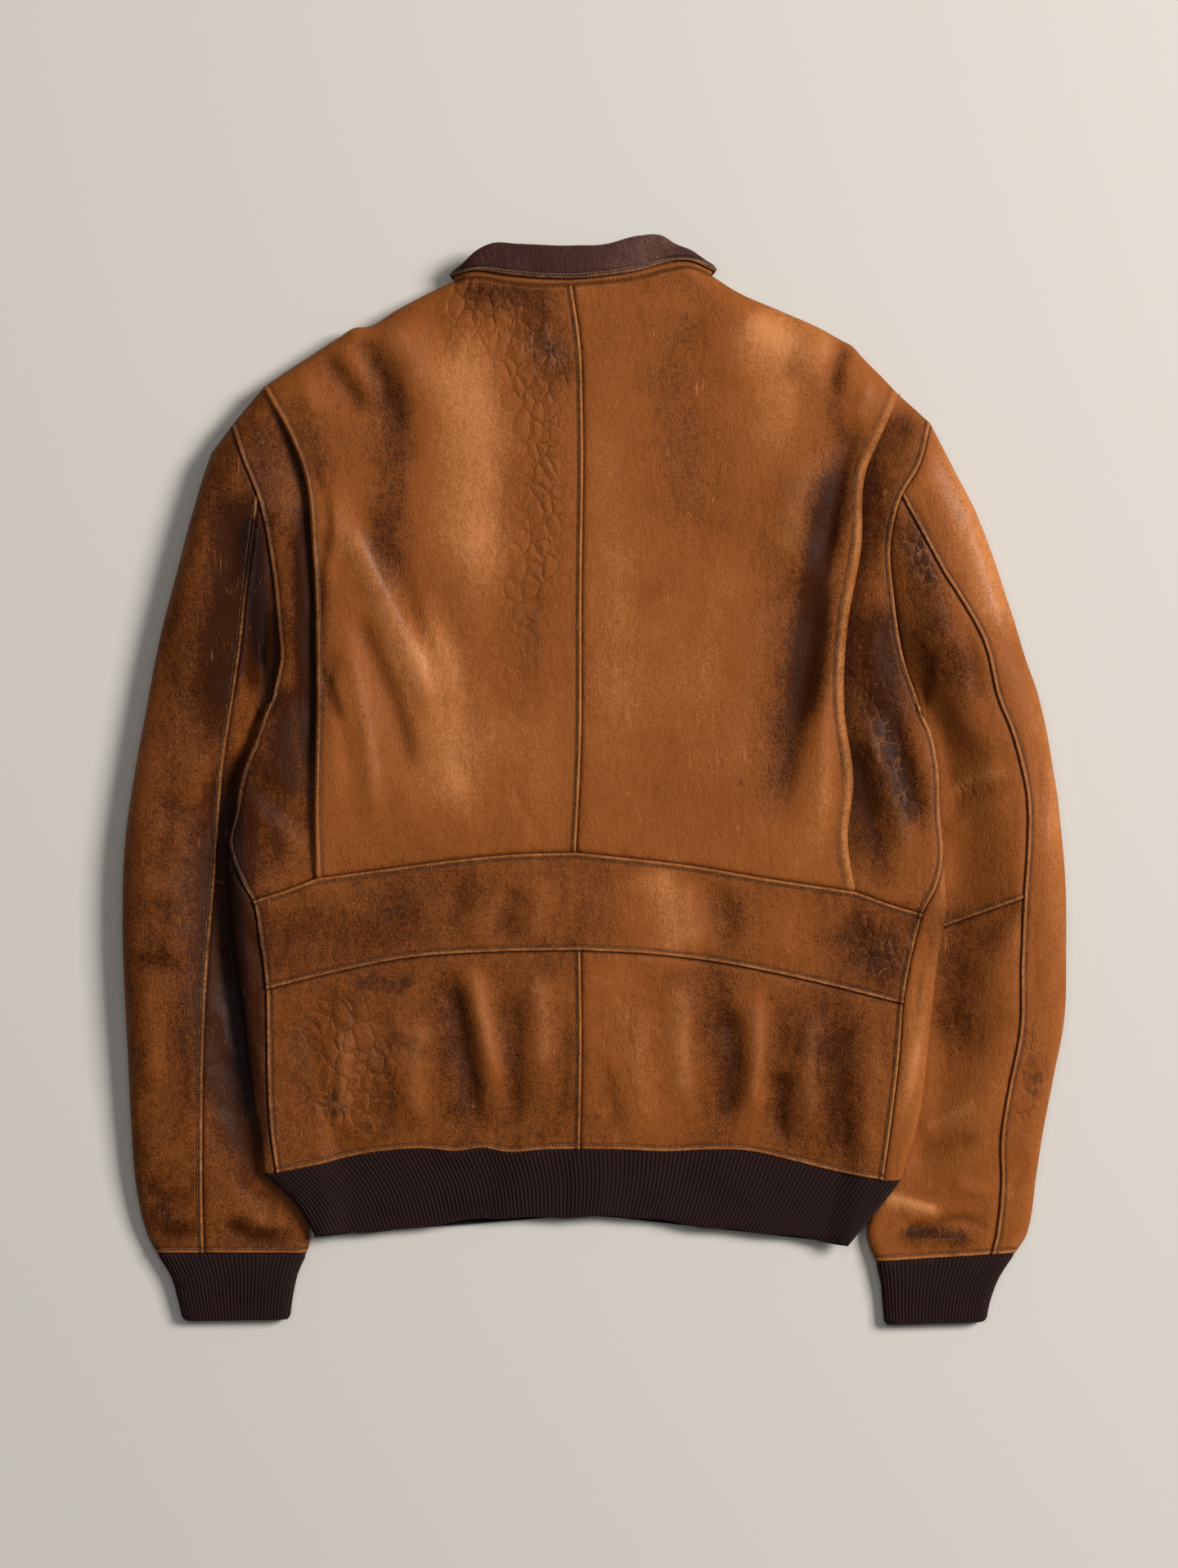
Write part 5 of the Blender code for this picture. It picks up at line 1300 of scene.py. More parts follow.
def cuff_loop(left_x, left_y, right_x, right_y, height):
    """One closed flat ring as a fine line: above from left to right, and back below."""
    half = height / 2
    reach = height * cuff_fold / abs(right_x - left_x)
    turn = np.linspace(0, math.pi / 2, 24)
    rise = np.column_stack((reach - reach * np.cos(turn), half + half * np.sin(turn)))
    fall = np.column_stack((1 - rise[::-1, 0], rise[::-1, 1]))
    above = np.concatenate((rise, fall))
    loop = np.concatenate((above, np.column_stack((above[::-1, 0], height - above[::-1, 1]))[1:]))
    return np.column_stack((left_x + loop[:, 0] * (right_x - left_x),
                            left_y + loop[:, 0] * (right_y - left_y), loop[:, 1]))


def knitted_cuff(name):
    table = np.array(cuff[name], float)
    rows = spline(np.arange(len(table)), table, knit_rows * (len(table) - 1))
    inwards = table[0, :4] - table[1, :4]
    rows[0, :4] += knit_tuck * inwards / np.linalg.norm(inwards[:2])
    loops = [cuff_loop(*row) for row in rows]
    longest = max(np.linalg.norm(np.diff(loop, axis=0), axis=1).sum() for loop in loops)
    ribs = 2 * int(round(longest / rib_pitch / 2))
    count = ribs * rib_samples
    share = np.linspace(0, 1, count + 1)
    grid = []
    for loop in loops:
        own = np.concatenate(([0], np.cumsum(np.linalg.norm(np.diff(loop, axis=0), axis=1))))
        grid.append(np.stack([np.interp(share, own / own[-1], column) for column in loop.T], -1))
    grid = np.array(grid)
    place = knit_rows[:, None]
    height, valley = rib_wave(count + 1)
    height[-1], valley[-1] = height[0], valley[0]
    bulge = np.sin(math.pi * place) ** 2 * np.sin(grid[..., 0] / 9 + 1.3)
    bulge = 0.9 * bulge * (grid[..., 2] > table[0, 4] / 2)
    rolled = ease((place - 0.93) / 0.07)
    amount = height * (1 - 0.55 * rolled) * (0.75 + 0.25 * ease(place / 0.1))
    amount = amount - 1.0 - 1.3 * rolled ** 2 + bulge * 0.35 - 1.2 * (place == 0)
    closed = np.concatenate((grid[:, -2:-1], grid, grid[:, 1:2]), axis=1)
    wide = np.concatenate((amount[:, -2:-1], amount, amount[:, 1:2]), axis=1)
    pushed = push_out(closed, wide)[:, 1:-1]
    if pushed[..., 2].max() < grid[..., 2].max() - 1.5:
        print("the ribs of", name, "were pushed inwards")
    pushed[..., 2] = np.maximum(pushed[..., 2], 0.05)
    pushed[:, -1] = pushed[:, 0]
    valley = valley * np.ones_like(place)
    rough = 0.5 * rolled * np.ones_like(valley)
    return pushed, {"worn": rough, "thread": valley, "crease": np.zeros_like(valley)}


for name in sign:
    grid, marks = knitted_cuff(name)
    piece = sheet_of(f"cuff_knit_{name}", [grid], (sign[name] * 245, -350, 6), knit_wall, [marks])
    smooth = grid[:, ::rib_samples]
    fit(piece, f"cuff_{name}", flat_cut(smooth))

# %% Hem band
def ribbed(grid, sign_of_layer):
    """Ribs on a plan grid whose columns are already spaced for them. Up is 1, down is -1."""
    height, valley = rib_wave(grid.shape[1])
    place = knit_rows[:, None]
    rolled = ease((place - 0.93) / 0.07)
    amount = height * (1 - 0.5 * rolled) * (0.75 + 0.25 * ease(place / 0.1))
    grid[..., 2] += sign_of_layer * (amount - 1.0 - 1.2 * rolled ** 2)
    valley = valley * np.ones_like(place)
    return {"worn": 0.5 * rolled * np.ones_like(valley), "thread": valley,
            "crease": np.zeros_like(valley)}


def knitted_hem():
    """The band's upper layer, from round one fold to round the other, and its plan."""
    band = np.array(hem_band, float)
    wraps = []
    for name in sign:
        across = np.linspace(0, 1, 20)[:, None]
        y, fold, seam = side[name][-1]
        wraps.append((1 - across) * np.array((fold, y)) + across * np.array((seam, y)))
    top = join(wraps[0], hem_line["left"][::-1], hem_line["right"], wraps[1][::-1])
    count = 2 * int(round(length_of(top) / rib_pitch / 2)) * rib_samples
    top = at_shares(top, np.linspace(0, 1, count + 1))
    edge = band[-1]
    end = walk((edge[[0, 1]], (-9.0, edge[2]), edge[[3, 4]]), np.linspace(0, 1, count + 1))
    end[:, 1] += 0.9 * np.sin(end[:, 0] / 17) + 0.6 * np.sin(end[:, 0] / 7.3 + 1)
    end[[0, -1]] = edge[[0, 1]], edge[[3, 4]]
    ends = []
    for place, columns in ((0, (0, 1)), (-1, (3, 4))):
        line = np.concatenate((top[place][None], band[1:, columns]))
        ends.append(at_shares(fine(line, 60), knit_rows))
    along = knit_rows[:, None, None]
    across = np.linspace(0, 1, count + 1)[None, :, None]
    straight = (1 - along) * top + along * end
    skew = ((1 - across) * (ends[0] - straight[:, 0])[:, None]
            + across * (ends[1] - straight[:, -1])[:, None])
    plan = straight + skew
    return raise_to(plan, upper), plan


def front_layer(name, fold_plan):
    """The band's lower layer on one side, from the zip out to the fold."""
    edge_x = zip_x + sign[name] * zip_half
    first = fine(front_hem[name])
    last_y = hem_band[-1][2]
    count = 2 * int(round(length_of(first) / rib_pitch / 2)) * rib_samples
    share = np.linspace(0, 1, count + 1)
    first = at_shares(first, share)
    last = (1 - share[:, None]) * np.array((edge_x, last_y)) + share[:, None] * fold_plan[-1]
    along = knit_rows[:, None, None]
    plan = (1 - along) * first + along * last
    plan = plan + share[None, :, None] * (fold_plan - plan[:, -1])[:, None]
    return raise_to(plan, lower)


above, plan = knitted_hem()
hem_marks = [ribbed(above, 1)]
hem_grids = [above]
for name in sign:
    column = 0 if name == "left" else -1
    layer = front_layer(name, plan[:, column])
    hem_marks.append(ribbed(layer, -1))
    layer[..., 2] = np.maximum(layer[..., 2] + 0.6, 0.05)
    layer[:, -1] = above[:, column]
    hem_grids.append(layer)
piece = sheet_of("hem_knit", hem_grids, (-4, -285, 8), knit_wall, hem_marks)
flat = [flat_cut(grid[:, ::rib_samples]) for grid in hem_grids]
fit(piece, "hem_band", (sum(f[0] for f in flat), max(f[1] for f in flat), sum(f[2] for f in flat)))

# %% [markdown]
# ## Collar
#
# The collar is two pieces: a stand sewn upright round the neck, and a leaf that rises behind it
# and folds over. Both are one section swept round the neck seam. The section turns with the
# collar: it faces back behind the neck and forward at the front edges.

# %% Sections round the neck
leaf_rise = 2.8
leaf_turn = 4.6
collar_steps = 260


def swept(section):
    """Sweeps (out, up) points round the neck seam. Returns the grid and the places along it."""
    table = np.array(collar, float)
    start = [0]
    for a, b in zip(table, table[1:]):
        start.append(start[-1] + max(abs(b[0] - a[0]), 5.0))
    places = np.linspace(0, start[-1], collar_steps + 1)
    table = spline(np.array(start, float), table, places)
    grid = []
    for x, leaf, crest, turn in table:
        front_side = ease((turn - 92) / 10)
        back_y = np.interp(x, neck_seam[:, 0], neck_seam[:, 1])
        front_y = np.interp(x, neckline[:, 0], neckline[:, 1])
        y = (1 - front_side) * back_y + front_side * front_y
        place = (np.array([x]), np.array([y]))
        high, deep = float(upper(*place)[0]), float(lower(*place)[0])
        angle = math.radians(min(max(turn, 0), 180))
        base = (high + deep) / 2 + (high - deep) / 2 * math.cos(angle)
        outward = math.sin(angle) * math.copysign(1, x)
        grid.append([(x + out * outward, y + up, base + out * math.cos(angle))
                     for out, up in section(leaf, crest)])
    return np.array(grid), places


def stand_section(leaf, crest):
    top = crest - leaf_turn + 0.6
    return [(-1.5, -2.2)] + [(0.35 * math.sin(math.pi * s), s * top)
                             for s in np.linspace(0.02, 1, 14)]


def leaf_section(leaf, crest):
    """The leaf from its free edge up over the fold and a little way down inside."""
    out = leaf_rise - leaf_turn
    up = crest - leaf_turn
    height = up - leaf
    rise = [(leaf_rise, leaf + s * min(1, 0.35 * height / border[-1])) for s in border]
    rise += [(leaf_rise, leaf + s) for s in np.linspace(rise[-1][1] - leaf, height, 8)[1:]]
    over = [(out + leaf_turn * math.sin(a), up + leaf_turn * math.cos(a))
            for a in np.linspace(math.pi / 2, -math.pi / 2, 13)[1:]]
    inside = min(max(crest - 11, 1.5), up - 0.8)
    down = [(out - leaf_turn, up + s * (inside - up)) for s in np.linspace(0, 1, 5)[1:]]
    return rise + over + down


def wavy(grid, places, amount):
    """Small uneven dents and rises square to the surface, none at the sewn edge."""
    down = np.arange(grid.shape[1]) / grid.shape[1]
    along = places[:, None]
    ripple = (np.sin(along / 9 + 4 * down) + 0.7 * np.sin(along / 4.3 + 1 + 6 * down)
              + 0.8 * np.sin(along / 21 + 2))
    return push_out(grid, amount * ripple * np.sin(math.pi * np.clip(down * 1.05, 0, 1))[None, :])


print("points across the leaf", len(leaf_section(4.0, 27.0)))

# %% Stand
stand, places = swept(stand_section)
stand = wavy(stand, places, 0.16)
lowest = 0.5
stand[..., 2] = np.maximum(stand[..., 2], lowest)
seam_gap = np.linalg.norm(stand - stand[:, 1:2], axis=2)
stand_marks = {"worn": 0.6 * np.exp(-(seam_gap / 1.6) ** 2),
               "thread": np.exp(-(seam_gap / 0.9) ** 2),
               "crease": -0.5 * np.exp(-((seam_gap - 4) / 3) ** 2)}
piece = sheet_of("collar_stand", [stand], (-8, 330, 12), leather_wall, [stand_marks])
fit(piece, "neck_stand", flat_cut(stand))

# %% Leaf
leaf, places = swept(leaf_section)
steps_down = np.linalg.norm(np.diff(leaf, axis=1), axis=2)
down_leaf = np.concatenate((np.zeros((len(leaf), 1)), np.cumsum(steps_down, axis=1)), axis=1)
roll = 0.85 * profile(roll_profile, down_leaf)
to_end = np.minimum(places, places[-1] - places)[:, None]
roll = roll + 0.85 * profile(roll_profile, to_end * np.ones_like(down_leaf))
ripples = puckers(places[:, None] / places[-1], places[-1], down_leaf, 0.2)
leaf_plain = leaf.copy()
leaf = push_out(leaf, -(roll + ripples))
if leaf[len(leaf) // 2, 4, 2] < leaf_plain[len(leaf) // 2, 4, 2]:
    leaf = push_out(leaf_plain, roll + ripples)
leaf = wavy(leaf, places, 0.28)
leaf[..., 2] = np.maximum(leaf[..., 2], lowest)
edge_worn = np.exp(-((down_leaf - 1.1) / 1.3) ** 2)
crest_gap = np.abs(down_leaf - down_leaf[:, 25:26])
# the leaf's tone is a painted highlight, brightest about x = 34 mm, over a slightly darker base
leaf_marks = {"worn": np.maximum(edge_worn, 0.35 * np.exp(-(crest_gap / 3) ** 2)),
              "thread": np.exp(-((down_leaf - stitch_inset) / 0.9) ** 2),
              "crease": np.zeros_like(down_leaf),
              "tone": 0.55 * np.exp(-((leaf[..., 0] - 34) / 34) ** 2) - 0.15}
piece = sheet_of("collar_leaf_leather", [leaf], (-8, 340, 12), leather_wall, [leaf_marks])
fit(piece, "collar_leaf", flat_cut(leaf))

# %% [markdown]
# ## Stitches
#
# Each stitch is a short bead of thread that dips into the leather at both ends. The rows follow
# the seams at the width of the fold, on the panel that laps over. The height of each bead is
# read from the sheet below it, so the thread lies in its trench.

# %% Beads of thread
from mathutils.bvhtree import BVHTree
from mathutils import Vector

stitch_length = 1.55
stitch_radius = 0.29
sewn_with = []


def surface_of(*grids):
    """A tree that answers where a vertical ray meets the grids."""
    return BVHTree.FromPolygons(*quads(grids))


def offset(line, amount):
    """The line moved to its left (or right, when negative), in plan."""
    ways = unit(np.gradient(line[:, :2], axis=0))
    return line[:, :2] + amount * np.column_stack((-ways[:, 1], ways[:, 0]))


def stitch_points(line, ground, start=1.5, finish=1.5):
    """Middle, direction and normal of each stitch along a plan line."""
    length = length_of(line)
    count = int((length - start - finish) / stitch_pitch)
    if count < 2:
        return []
    at = (start + stitch_pitch * (np.arange(count) + 0.5)) / length
    ends = [at_shares(line, at + half * stitch_length / 2 / length) for half in (-1, 1)]
    stitches = []
    for a, b in zip(*ends):
        found = [ground.ray_cast(Vector((p[0], p[1], 60)), Vector((0, 0, -1))) for p in (a, b)]
        if found[0][0] is None or found[1][0] is None:
            continue
        if abs(found[0][0].z - found[1][0].z) < 1.6:
            normal = np.array(found[0][1] + found[1][1])
            stitches.append((np.array(found[0][0]), np.array(found[1][0]),
                             unit(normal if normal[2] > 0 else -normal)))
    return stitches


# A bead's rings: share along it, lift and girth in thread radii
bead = ((-0.5, -0.5, 0.55), (-0.3, 0.35, 1.0), (0.3, 0.35, 1.0), (0.5, -0.5, 0.55))


def bead_points(a, b, normal):
    """Four rings of four points, from one end of a stitch to the other."""
    along = unit(b - a)
    across = unit(np.cross(along, normal))
    upward = np.cross(across, along)
    points = []
    for share, lift, girth in bead:
        middle = (a + b) / 2 + along * share * stitch_length + upward * lift * stitch_radius
        for turn in (45, 135, 225, 315):
            angle = math.radians(turn)
            ring = math.cos(angle) * across + math.sin(angle) * upward
            points.append(middle + stitch_radius * girth * ring)
    return points


def tube_faces(start, rings, corners=4):
    """Faces round a stack of rings of points, with both ends closed."""
    faces = [tuple(range(start + corners - 1, start - 1, -1))]
    for ring in range(rings - 1):
        for corner in range(corners):
            first = start + corners * ring + corner
            second = start + corners * ring + (corner + 1) % corners
            faces.append((first, second, second + corners, first + corners))
    end = start + corners * (rings - 1)
    return faces + [tuple(range(end, end + corners))]


def stitch_row(line, away, ground, tone, start=1.5, finish=1.5):
    """Stitches beside a line, and how pale their thread is."""
    return stitch_points(offset(line, away), ground, start, finish), tone


def sew(name, rows):
    """One object for many stitches. rows holds pairs of stitches and how pale their thread is."""
    points, faces = [], []
    for stitches, tone in rows:
        for a, b, normal in stitches:
            faces += tube_faces(len(points), len(bead))
            points += bead_points(a, b, normal)
    tones = [tone for stitches, tone in rows for point in range(4 * len(bead) * len(stitches))]
    piece = new_piece(name, points, faces)
    layer = piece.data.attributes.new("tone", "FLOAT", "POINT")
    layer.data.foreach_set("value", np.array(tones, np.float32))
    piece.data.shade_smooth()
    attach(piece, "jacket")
    sewn_with.append(name)
    print(name, sum(len(stitches) for stitches, tone in rows), "stitches")


print("a bead has", 4 * len(bead), "points")

# %% Rows on the upper back and gussets
def between(line, first, last):
    """The part of a line between two shares of its length."""
    return at_shares(line, np.linspace(first, last, 200))


ground = {name: surface_of(back_grids[name][0]) for name in sign}
gusset_ground = {name: surface_of(gusset_grids[name][0]) for name in sign}
belt_ground = surface_of(belt_grid)
lower_ground = {name: surface_of(lower_grids[name][0]) for name in sign}
# how far some rows stand from their seams: neck, side seam, and two beside the armhole
neck_inset, side_inset, armhole_inset, second_inset = 3.2, 3.0, 2.9, 5.2
rows = [stitch_row(centre_line, -stitch_inset, ground["left"], 0.0, 5, 1)]
for name, way in sign.items():
    free = pleat_line[name][:, :2]
    rows.append(stitch_row(free, -way * pleat_stitch_inset[name], ground[name], 0.25, 3, 1))
    rows.append(stitch_row(fine(neck[name]), -way * neck_inset, ground[name], 0.3, 2, 8))
sew("stitches_upper_back", rows)

rows = []
for name, way in sign.items():
    low_side = cut_between(side_seam[name], side[name][0][0] - 12, belt_end_line[name][-1, 1])
    rows.append(stitch_row(low_side, -way * side_inset, gusset_ground[name], 0.2))
    seam = between(armhole_line[name], 0.0, 0.99)
    rows.append(stitch_row(seam, -way * armhole_inset, gusset_ground[name], 0.15))
    if name == "right":
        rows.append(stitch_row(seam, -way * second_inset, gusset_ground[name], 0.15))
sew("stitches_gussets", rows)

# %% Rows on the belt and lower back
belt_top_all = join(belt_end_line["left"][::-1], belt_top_line["left"][::-1],
                    belt_top_line["right"], belt_end_line["right"])
belt_bottom_all = join(belt_bottom_line["left"][::-1], belt_bottom_line["right"])
rows = [stitch_row(belt_top_all, -stitch_inset, belt_ground, 0.2, 3, 3),
        stitch_row(belt_bottom_all, stitch_inset, belt_ground, 0.15, 3, 3)]
for name, way in sign.items():
    belt_low = belt_bottom[name][-1][1]
    low_side = cut_between(side_seam[name], belt_end_line[name][-1, 1] - 3, belt_low + 3)
    rows.append(stitch_row(low_side, -way * side_inset, belt_ground, 0.1))
    low_side = cut_between(side_seam[name], belt_low - 2, hem[name][-1][1])
    rows.append(stitch_row(low_side, -way * side_inset, lower_ground[name], 0.1))
    rows.append(stitch_row(hem_line[name], way * stitch_inset, lower_ground[name], 0.35, 2, 3))
rows.append(stitch_row(lower_centre, -stitch_inset, lower_ground["left"], 0.05, 2, 3))
sew("stitches_belt_and_lower_back", rows)

# %% Rows on the sleeves
for name in sign:
    top, upper_part, lower_part = (sleeve_grids[key] for key in
                                   (name, (name, "upper"), (name, "lower")))
    rows = [stitch_row(back_seam[name], sign[name] * stitch_inset, surface_of(top), 0.15, 4, 4)]
    for line, grids, tone, free in ((cuff_edge[name], (top, lower_part), 0.35, 4),
                                    (elbow_line[name], (upper_part,), 0.1, 3)):
        way = 1 if line[-1, 0] > line[0, 0] else -1
        rows.append(stitch_row(line, way * stitch_inset, surface_of(*grids), tone, free, free))
    sew(f"stitches_sleeve_{name}", rows)

# %% Stitches of the collar
def stitches_on(points, normals):
    """Stitches along a line of points that already lie on a surface."""
    reach = np.concatenate(([0.0], np.cumsum(np.linalg.norm(np.diff(points, axis=0), axis=1))))
    made = []
    for at in np.arange(2.0, reach[-1] - 2.0, stitch_pitch):
        a, b = [np.array([np.interp(at + half * stitch_length / 2, reach, column)
                          for column in points.T]) for half in (-1, 1)]
        normal = np.array([np.interp(at, reach, column) for column in normals.T])
        made.append((a, b, normal))
    return made


def facing_out(grid, column):
    """Normals along one column of a grid, turned up where the grid lies behind the neck."""
    normals = unit(np.cross(np.gradient(grid, axis=0), np.gradient(grid, axis=1))[:, column])
    return normals if normals[len(grid) // 2, 2] > 0 else -normals


sew("stitches_collar", [(stitches_on(leaf[:, 8], facing_out(leaf, 8)), 0.75)])

# %% [markdown]
# ## Zip
#
# The jacket is closed in front by a brass zip. It lies underneath, with its outer side down. Two
# woven tapes carry the teeth, which alternate. The slider and its pull are the solids of the
# model below, shown as they are, with a brass finish.

# %% Zip teeth
zip_top, zip_bottom = 283.0, -296.0
tooth_pitch = 2.9
chain_low, chain_high = 4.3, 6.1
outline_of_tooth = ((-0.7, -0.55), (2.2, -0.8), (2.9, -0.45), (2.9, 0.45), (2.2, 0.8),
                    (-0.7, 0.55))
points, faces = [], []
count = int((zip_top - zip_bottom - 1) / tooth_pitch)
for number in range(count):
    for way in (-1, 1):
        y = zip_bottom + 0.9 + tooth_pitch * (number + (0.5 if way > 0 else 0))
        rings = tube_faces(len(points), 2, len(outline_of_tooth))
        faces += [ring if way > 0 else ring[::-1] for ring in rings]
        for z in (chain_low, chain_high):
            points += [(zip_x + way * px, y + py, z) for px, py in outline_of_tooth]
teeth = new_piece("zip_teeth", points, faces)
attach(teeth, "jacket")
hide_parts("zip_chain")
print("zip", 2 * count, "teeth")

# %% Zip tapes
tape_rows = np.linspace(zip_bottom, zip_top, 200)
outline_of_tape = ((1.0, 4.8), (4.15, 4.7), (4.15, 5.5), (1.0, 5.6))
points, faces = [], []
for way in (-1, 1):
    rings = tube_faces(len(points), len(tape_rows))
    faces += [ring if way > 0 else ring[::-1] for ring in rings]
    for y in tape_rows:
        wave = 0.06 * math.sin(y / 7)
        points += [(zip_x + way * px, y, pz + wave) for px, pz in outline_of_tape]
tapes = new_piece("zip_tapes", points, faces)
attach(tapes, "jacket")
print("tapes", round(zip_top - zip_bottom), "mm long")

# %% [markdown]
# ## Materials
#
# Each finish is worked out in millimetres from the piece's own coordinates. The leather has a
# pebbled grain, fine wrinkles that run down the back, a net of cracks where the skin was loose,
# and colour that follows the numbers stored on the points: wear, stains, tone, and painted
# highlights and painted shade. Both leathers use the same groups with their own colours. The
# groups give out colours and heights, and the shader itself stays in each material.

# %% Small helpers for shader trees
class Field:
    """A number or colour that changes over a surface. Plain signs add up the nodes."""

    def __init__(self, tree, socket):
        self.tree, self.socket = tree, socket

    def math(self, kind, other=0.0):
        made = self.tree.nodes.new("ShaderNodeMath")
        made.operation = kind
        put(self, made.inputs[0])
        put(other, made.inputs[1])
        return Field(self.tree, made.outputs[0])

    def __add__(self, other):
        return self.math("ADD", other)

    def __sub__(self, other):
        return self.math("SUBTRACT", other)

    def __mul__(self, other):
        return self.math("MULTIPLY", other)

    def swing(self, amount):
        """Moves a field from around a half to around zero, and scales it."""
        return (self - 0.5) * amount

    def clamped(self):
        self.socket.node.use_clamp = True
        return self


def put(value, socket):
    """Sets a socket, or links it when the value is a field."""
    if isinstance(value, Field):
        value.tree.links.new(value.socket, socket)
    else:
        socket.default_value = value


print("fields can be added, taken away and multiplied")

# %% Textures, blends and groups
def texture(kind, at, **numbers):
    """A texture node read at a place, with its numbers set."""
    made = at.tree.nodes.new("ShaderNodeTex" + kind)
    put(at, made.inputs["Vector"])
    for key, number in numbers.items():
        made.inputs[key.replace("_", " ")].default_value = number
    return made


def remap(value, low, high, out_low=0.0, out_high=1.0):
    """A soft step from one range of numbers to another."""
    made = value.tree.nodes.new("ShaderNodeMapRange")
    made.interpolation_type = "SMOOTHSTEP"
    for socket, number in zip(made.inputs[:5], (value, low, high, out_low, out_high)):
        put(number, socket)
    return Field(value.tree, made.outputs[0])


def blend(amount, first, second):
    made = amount.tree.nodes.new("ShaderNodeMix")
    made.data_type = "RGBA"
    for value, number in ((amount, 0), (first, 6), (second, 7)):
        put(value, made.inputs[number])
    return Field(amount.tree, made.outputs[2])


def millimetres(tree, stretch=(1, 1, 1), turn=0.0):
    """The piece's own coordinates in millimetres, stretched and turned about Z."""
    place = tree.nodes.new("ShaderNodeTexCoord")
    mapping = tree.nodes.new("ShaderNodeMapping")
    mapping.inputs["Scale"].default_value = [1000 * s for s in stretch]
    mapping.inputs["Rotation"].default_value = (0, 0, math.radians(turn))
    tree.links.new(place.outputs["Object"], mapping.inputs["Vector"])
    return Field(tree, mapping.outputs[0])


def noise(at, size, detail=3.0, distortion=0.0):
    """Noise with features of a size in millimetres, from 0 to 1."""
    made = texture("Noise", at, Scale=1 / size, Detail=detail, Distortion=distortion)
    return Field(at.tree, made.outputs[0])


def cells(at, size, feature="F1"):
    made = texture("Voronoi", at, Scale=1 / size)
    made.feature = feature
    return Field(at.tree, made.outputs["Distance"])


def attribute(tree, key):
    made = tree.nodes.new("ShaderNodeAttribute")
    made.attribute_name = key
    return Field(tree, made.outputs["Fac"])


def new_group(name, inputs, outputs):
    """An empty node group: its tree, its inputs as fields, and its output sockets."""
    tree = bpy.data.node_groups.new(name, "ShaderNodeTree")
    for key, value in inputs.items():
        kind = "Float" if isinstance(value, float) else "Color"
        socket = tree.interface.new_socket(key, in_out="INPUT", socket_type="NodeSocket" + kind)
        socket.default_value = value
    for key in outputs:
        kind = "Color" if key == "Color" else "Float"
        tree.interface.new_socket(key, in_out="OUTPUT", socket_type="NodeSocket" + kind)
    start = tree.nodes.new("NodeGroupInput")
    given = {key: Field(tree, start.outputs[key]) for key in inputs}
    return tree, given, tree.nodes.new("NodeGroupOutput").inputs


print("helpers ready")

# %% [markdown]
# ### Grain and wrinkles
#
# The relief is a sum of four scales: pebbles a millimetre across, wrinkles of a few
# millimetres, long shallow creases down the skin, and the raised net of cracks.

# %% Leather relief group
t, given, result = new_group("Leather relief", {"Grain": 1.0, "Wrinkles": 1.0},
                             ("Height", "Crack lines", "Pebbles"))
relief_group = t
pebbles = cells(millimetres(t, (1, 0.86, 1)), 1.25)
pebble_height = remap(pebbles, 0.75, 0.1) * 0.085 * given["Grain"]
long_creases = noise(millimetres(t, (1, 0.16, 1), -3), 3.6, 3.0, 0.5)
sharp = remap((long_creases - 0.5).math("ABSOLUTE"), 0.0, 0.035)
somewhere = remap(noise(millimetres(t, (1, 0.5, 1)), 34.0, 2.0), 0.47, 0.62)
wrinkles = noise(millimetres(t, (1, 0.55, 1), 8), 2.6, 4.0, 0.6) * 0.5
wrinkles = (wrinkles + (sharp - 1.0) * (somewhere * 0.16)) * given["Wrinkles"]
# the net: cells in two sizes, pulled out of line by a colour noise
shift = texture("Noise", millimetres(t), Scale=1 / 9)
pulled, warped = t.nodes.new("ShaderNodeVectorMath"), t.nodes.new("ShaderNodeVectorMath")
pulled.operation, warped.operation = "ADD", "SCALE"
t.links.new(shift.outputs["Color"], warped.inputs[0])
warped.inputs["Scale"].default_value = 4.0
put(millimetres(t, (1, 0.68, 1)), pulled.inputs[0])
t.links.new(warped.outputs[0], pulled.inputs[1])
at = Field(t, pulled.outputs[0])
net = cells(at, 9.5, "DISTANCE_TO_EDGE")
small_net = remap(cells(at, 3.4, "DISTANCE_TO_EDGE"), 0.1, 0.0)
lines = remap(net, 0.06, 0.0).math("MAXIMUM", small_net * 0.12)
cracked = attribute(t, "crack")
broken = remap(noise(millimetres(t), 9.0), 0.34, 0.6)
lines = (lines * (broken * cracked)).clamped()
domes = remap(net, 0.0, 0.42).math("POWER", 0.6) * cracked
put(pebble_height + wrinkles + (domes - lines * 0.12), result["Height"])
put(lines, result["Crack lines"])
put(remap(pebbles, 0.2, 0.75), result["Pebbles"])
print("leather relief", len(t.nodes), "nodes")

# %% [markdown]
# ### Colour, wear, and painted light and shade
#
# The colour runs from dark to light with a tone: broad noise for the hide, finer noise for the
# dye, and the places given by the tables above, painted highlights and painted shade among them.
# Troughs get painted shade and ridges a painted highlight, and ridges are also rubbed pale.
# Stains, the painted shade of the darkest places, scratches and dark pores come last.
# Stains, scratches and dark pores come last.

# %% Leather colour group
brown = (0.3, 0.09, 0.02, 1)
t, given, result = new_group(
    "Leather colour", {"Dark": brown, "Mid": brown, "Light": brown, "Rubbed": brown,
                       "Stain": brown, "Crack lines": 0.0, "Pebbles": 0.0},
    ("Color", "Roughness", "Shine"))
colour_group = t
at = millimetres(t)
streaky = noise(millimetres(t, (1, 0.3, 1), 4), 5.5)
speckled = noise(at, 1.1, 2.0)
toned, creasing, stained = (attribute(t, key) for key in ("tone", "crease", "stain"))
tone = (noise(at, 95.0, 2.0).swing(0.3) + noise(at, 17.0, 4.0, 0.4).swing(0.22)
        + (streaky.swing(0.26) + speckled.swing(0.34)))
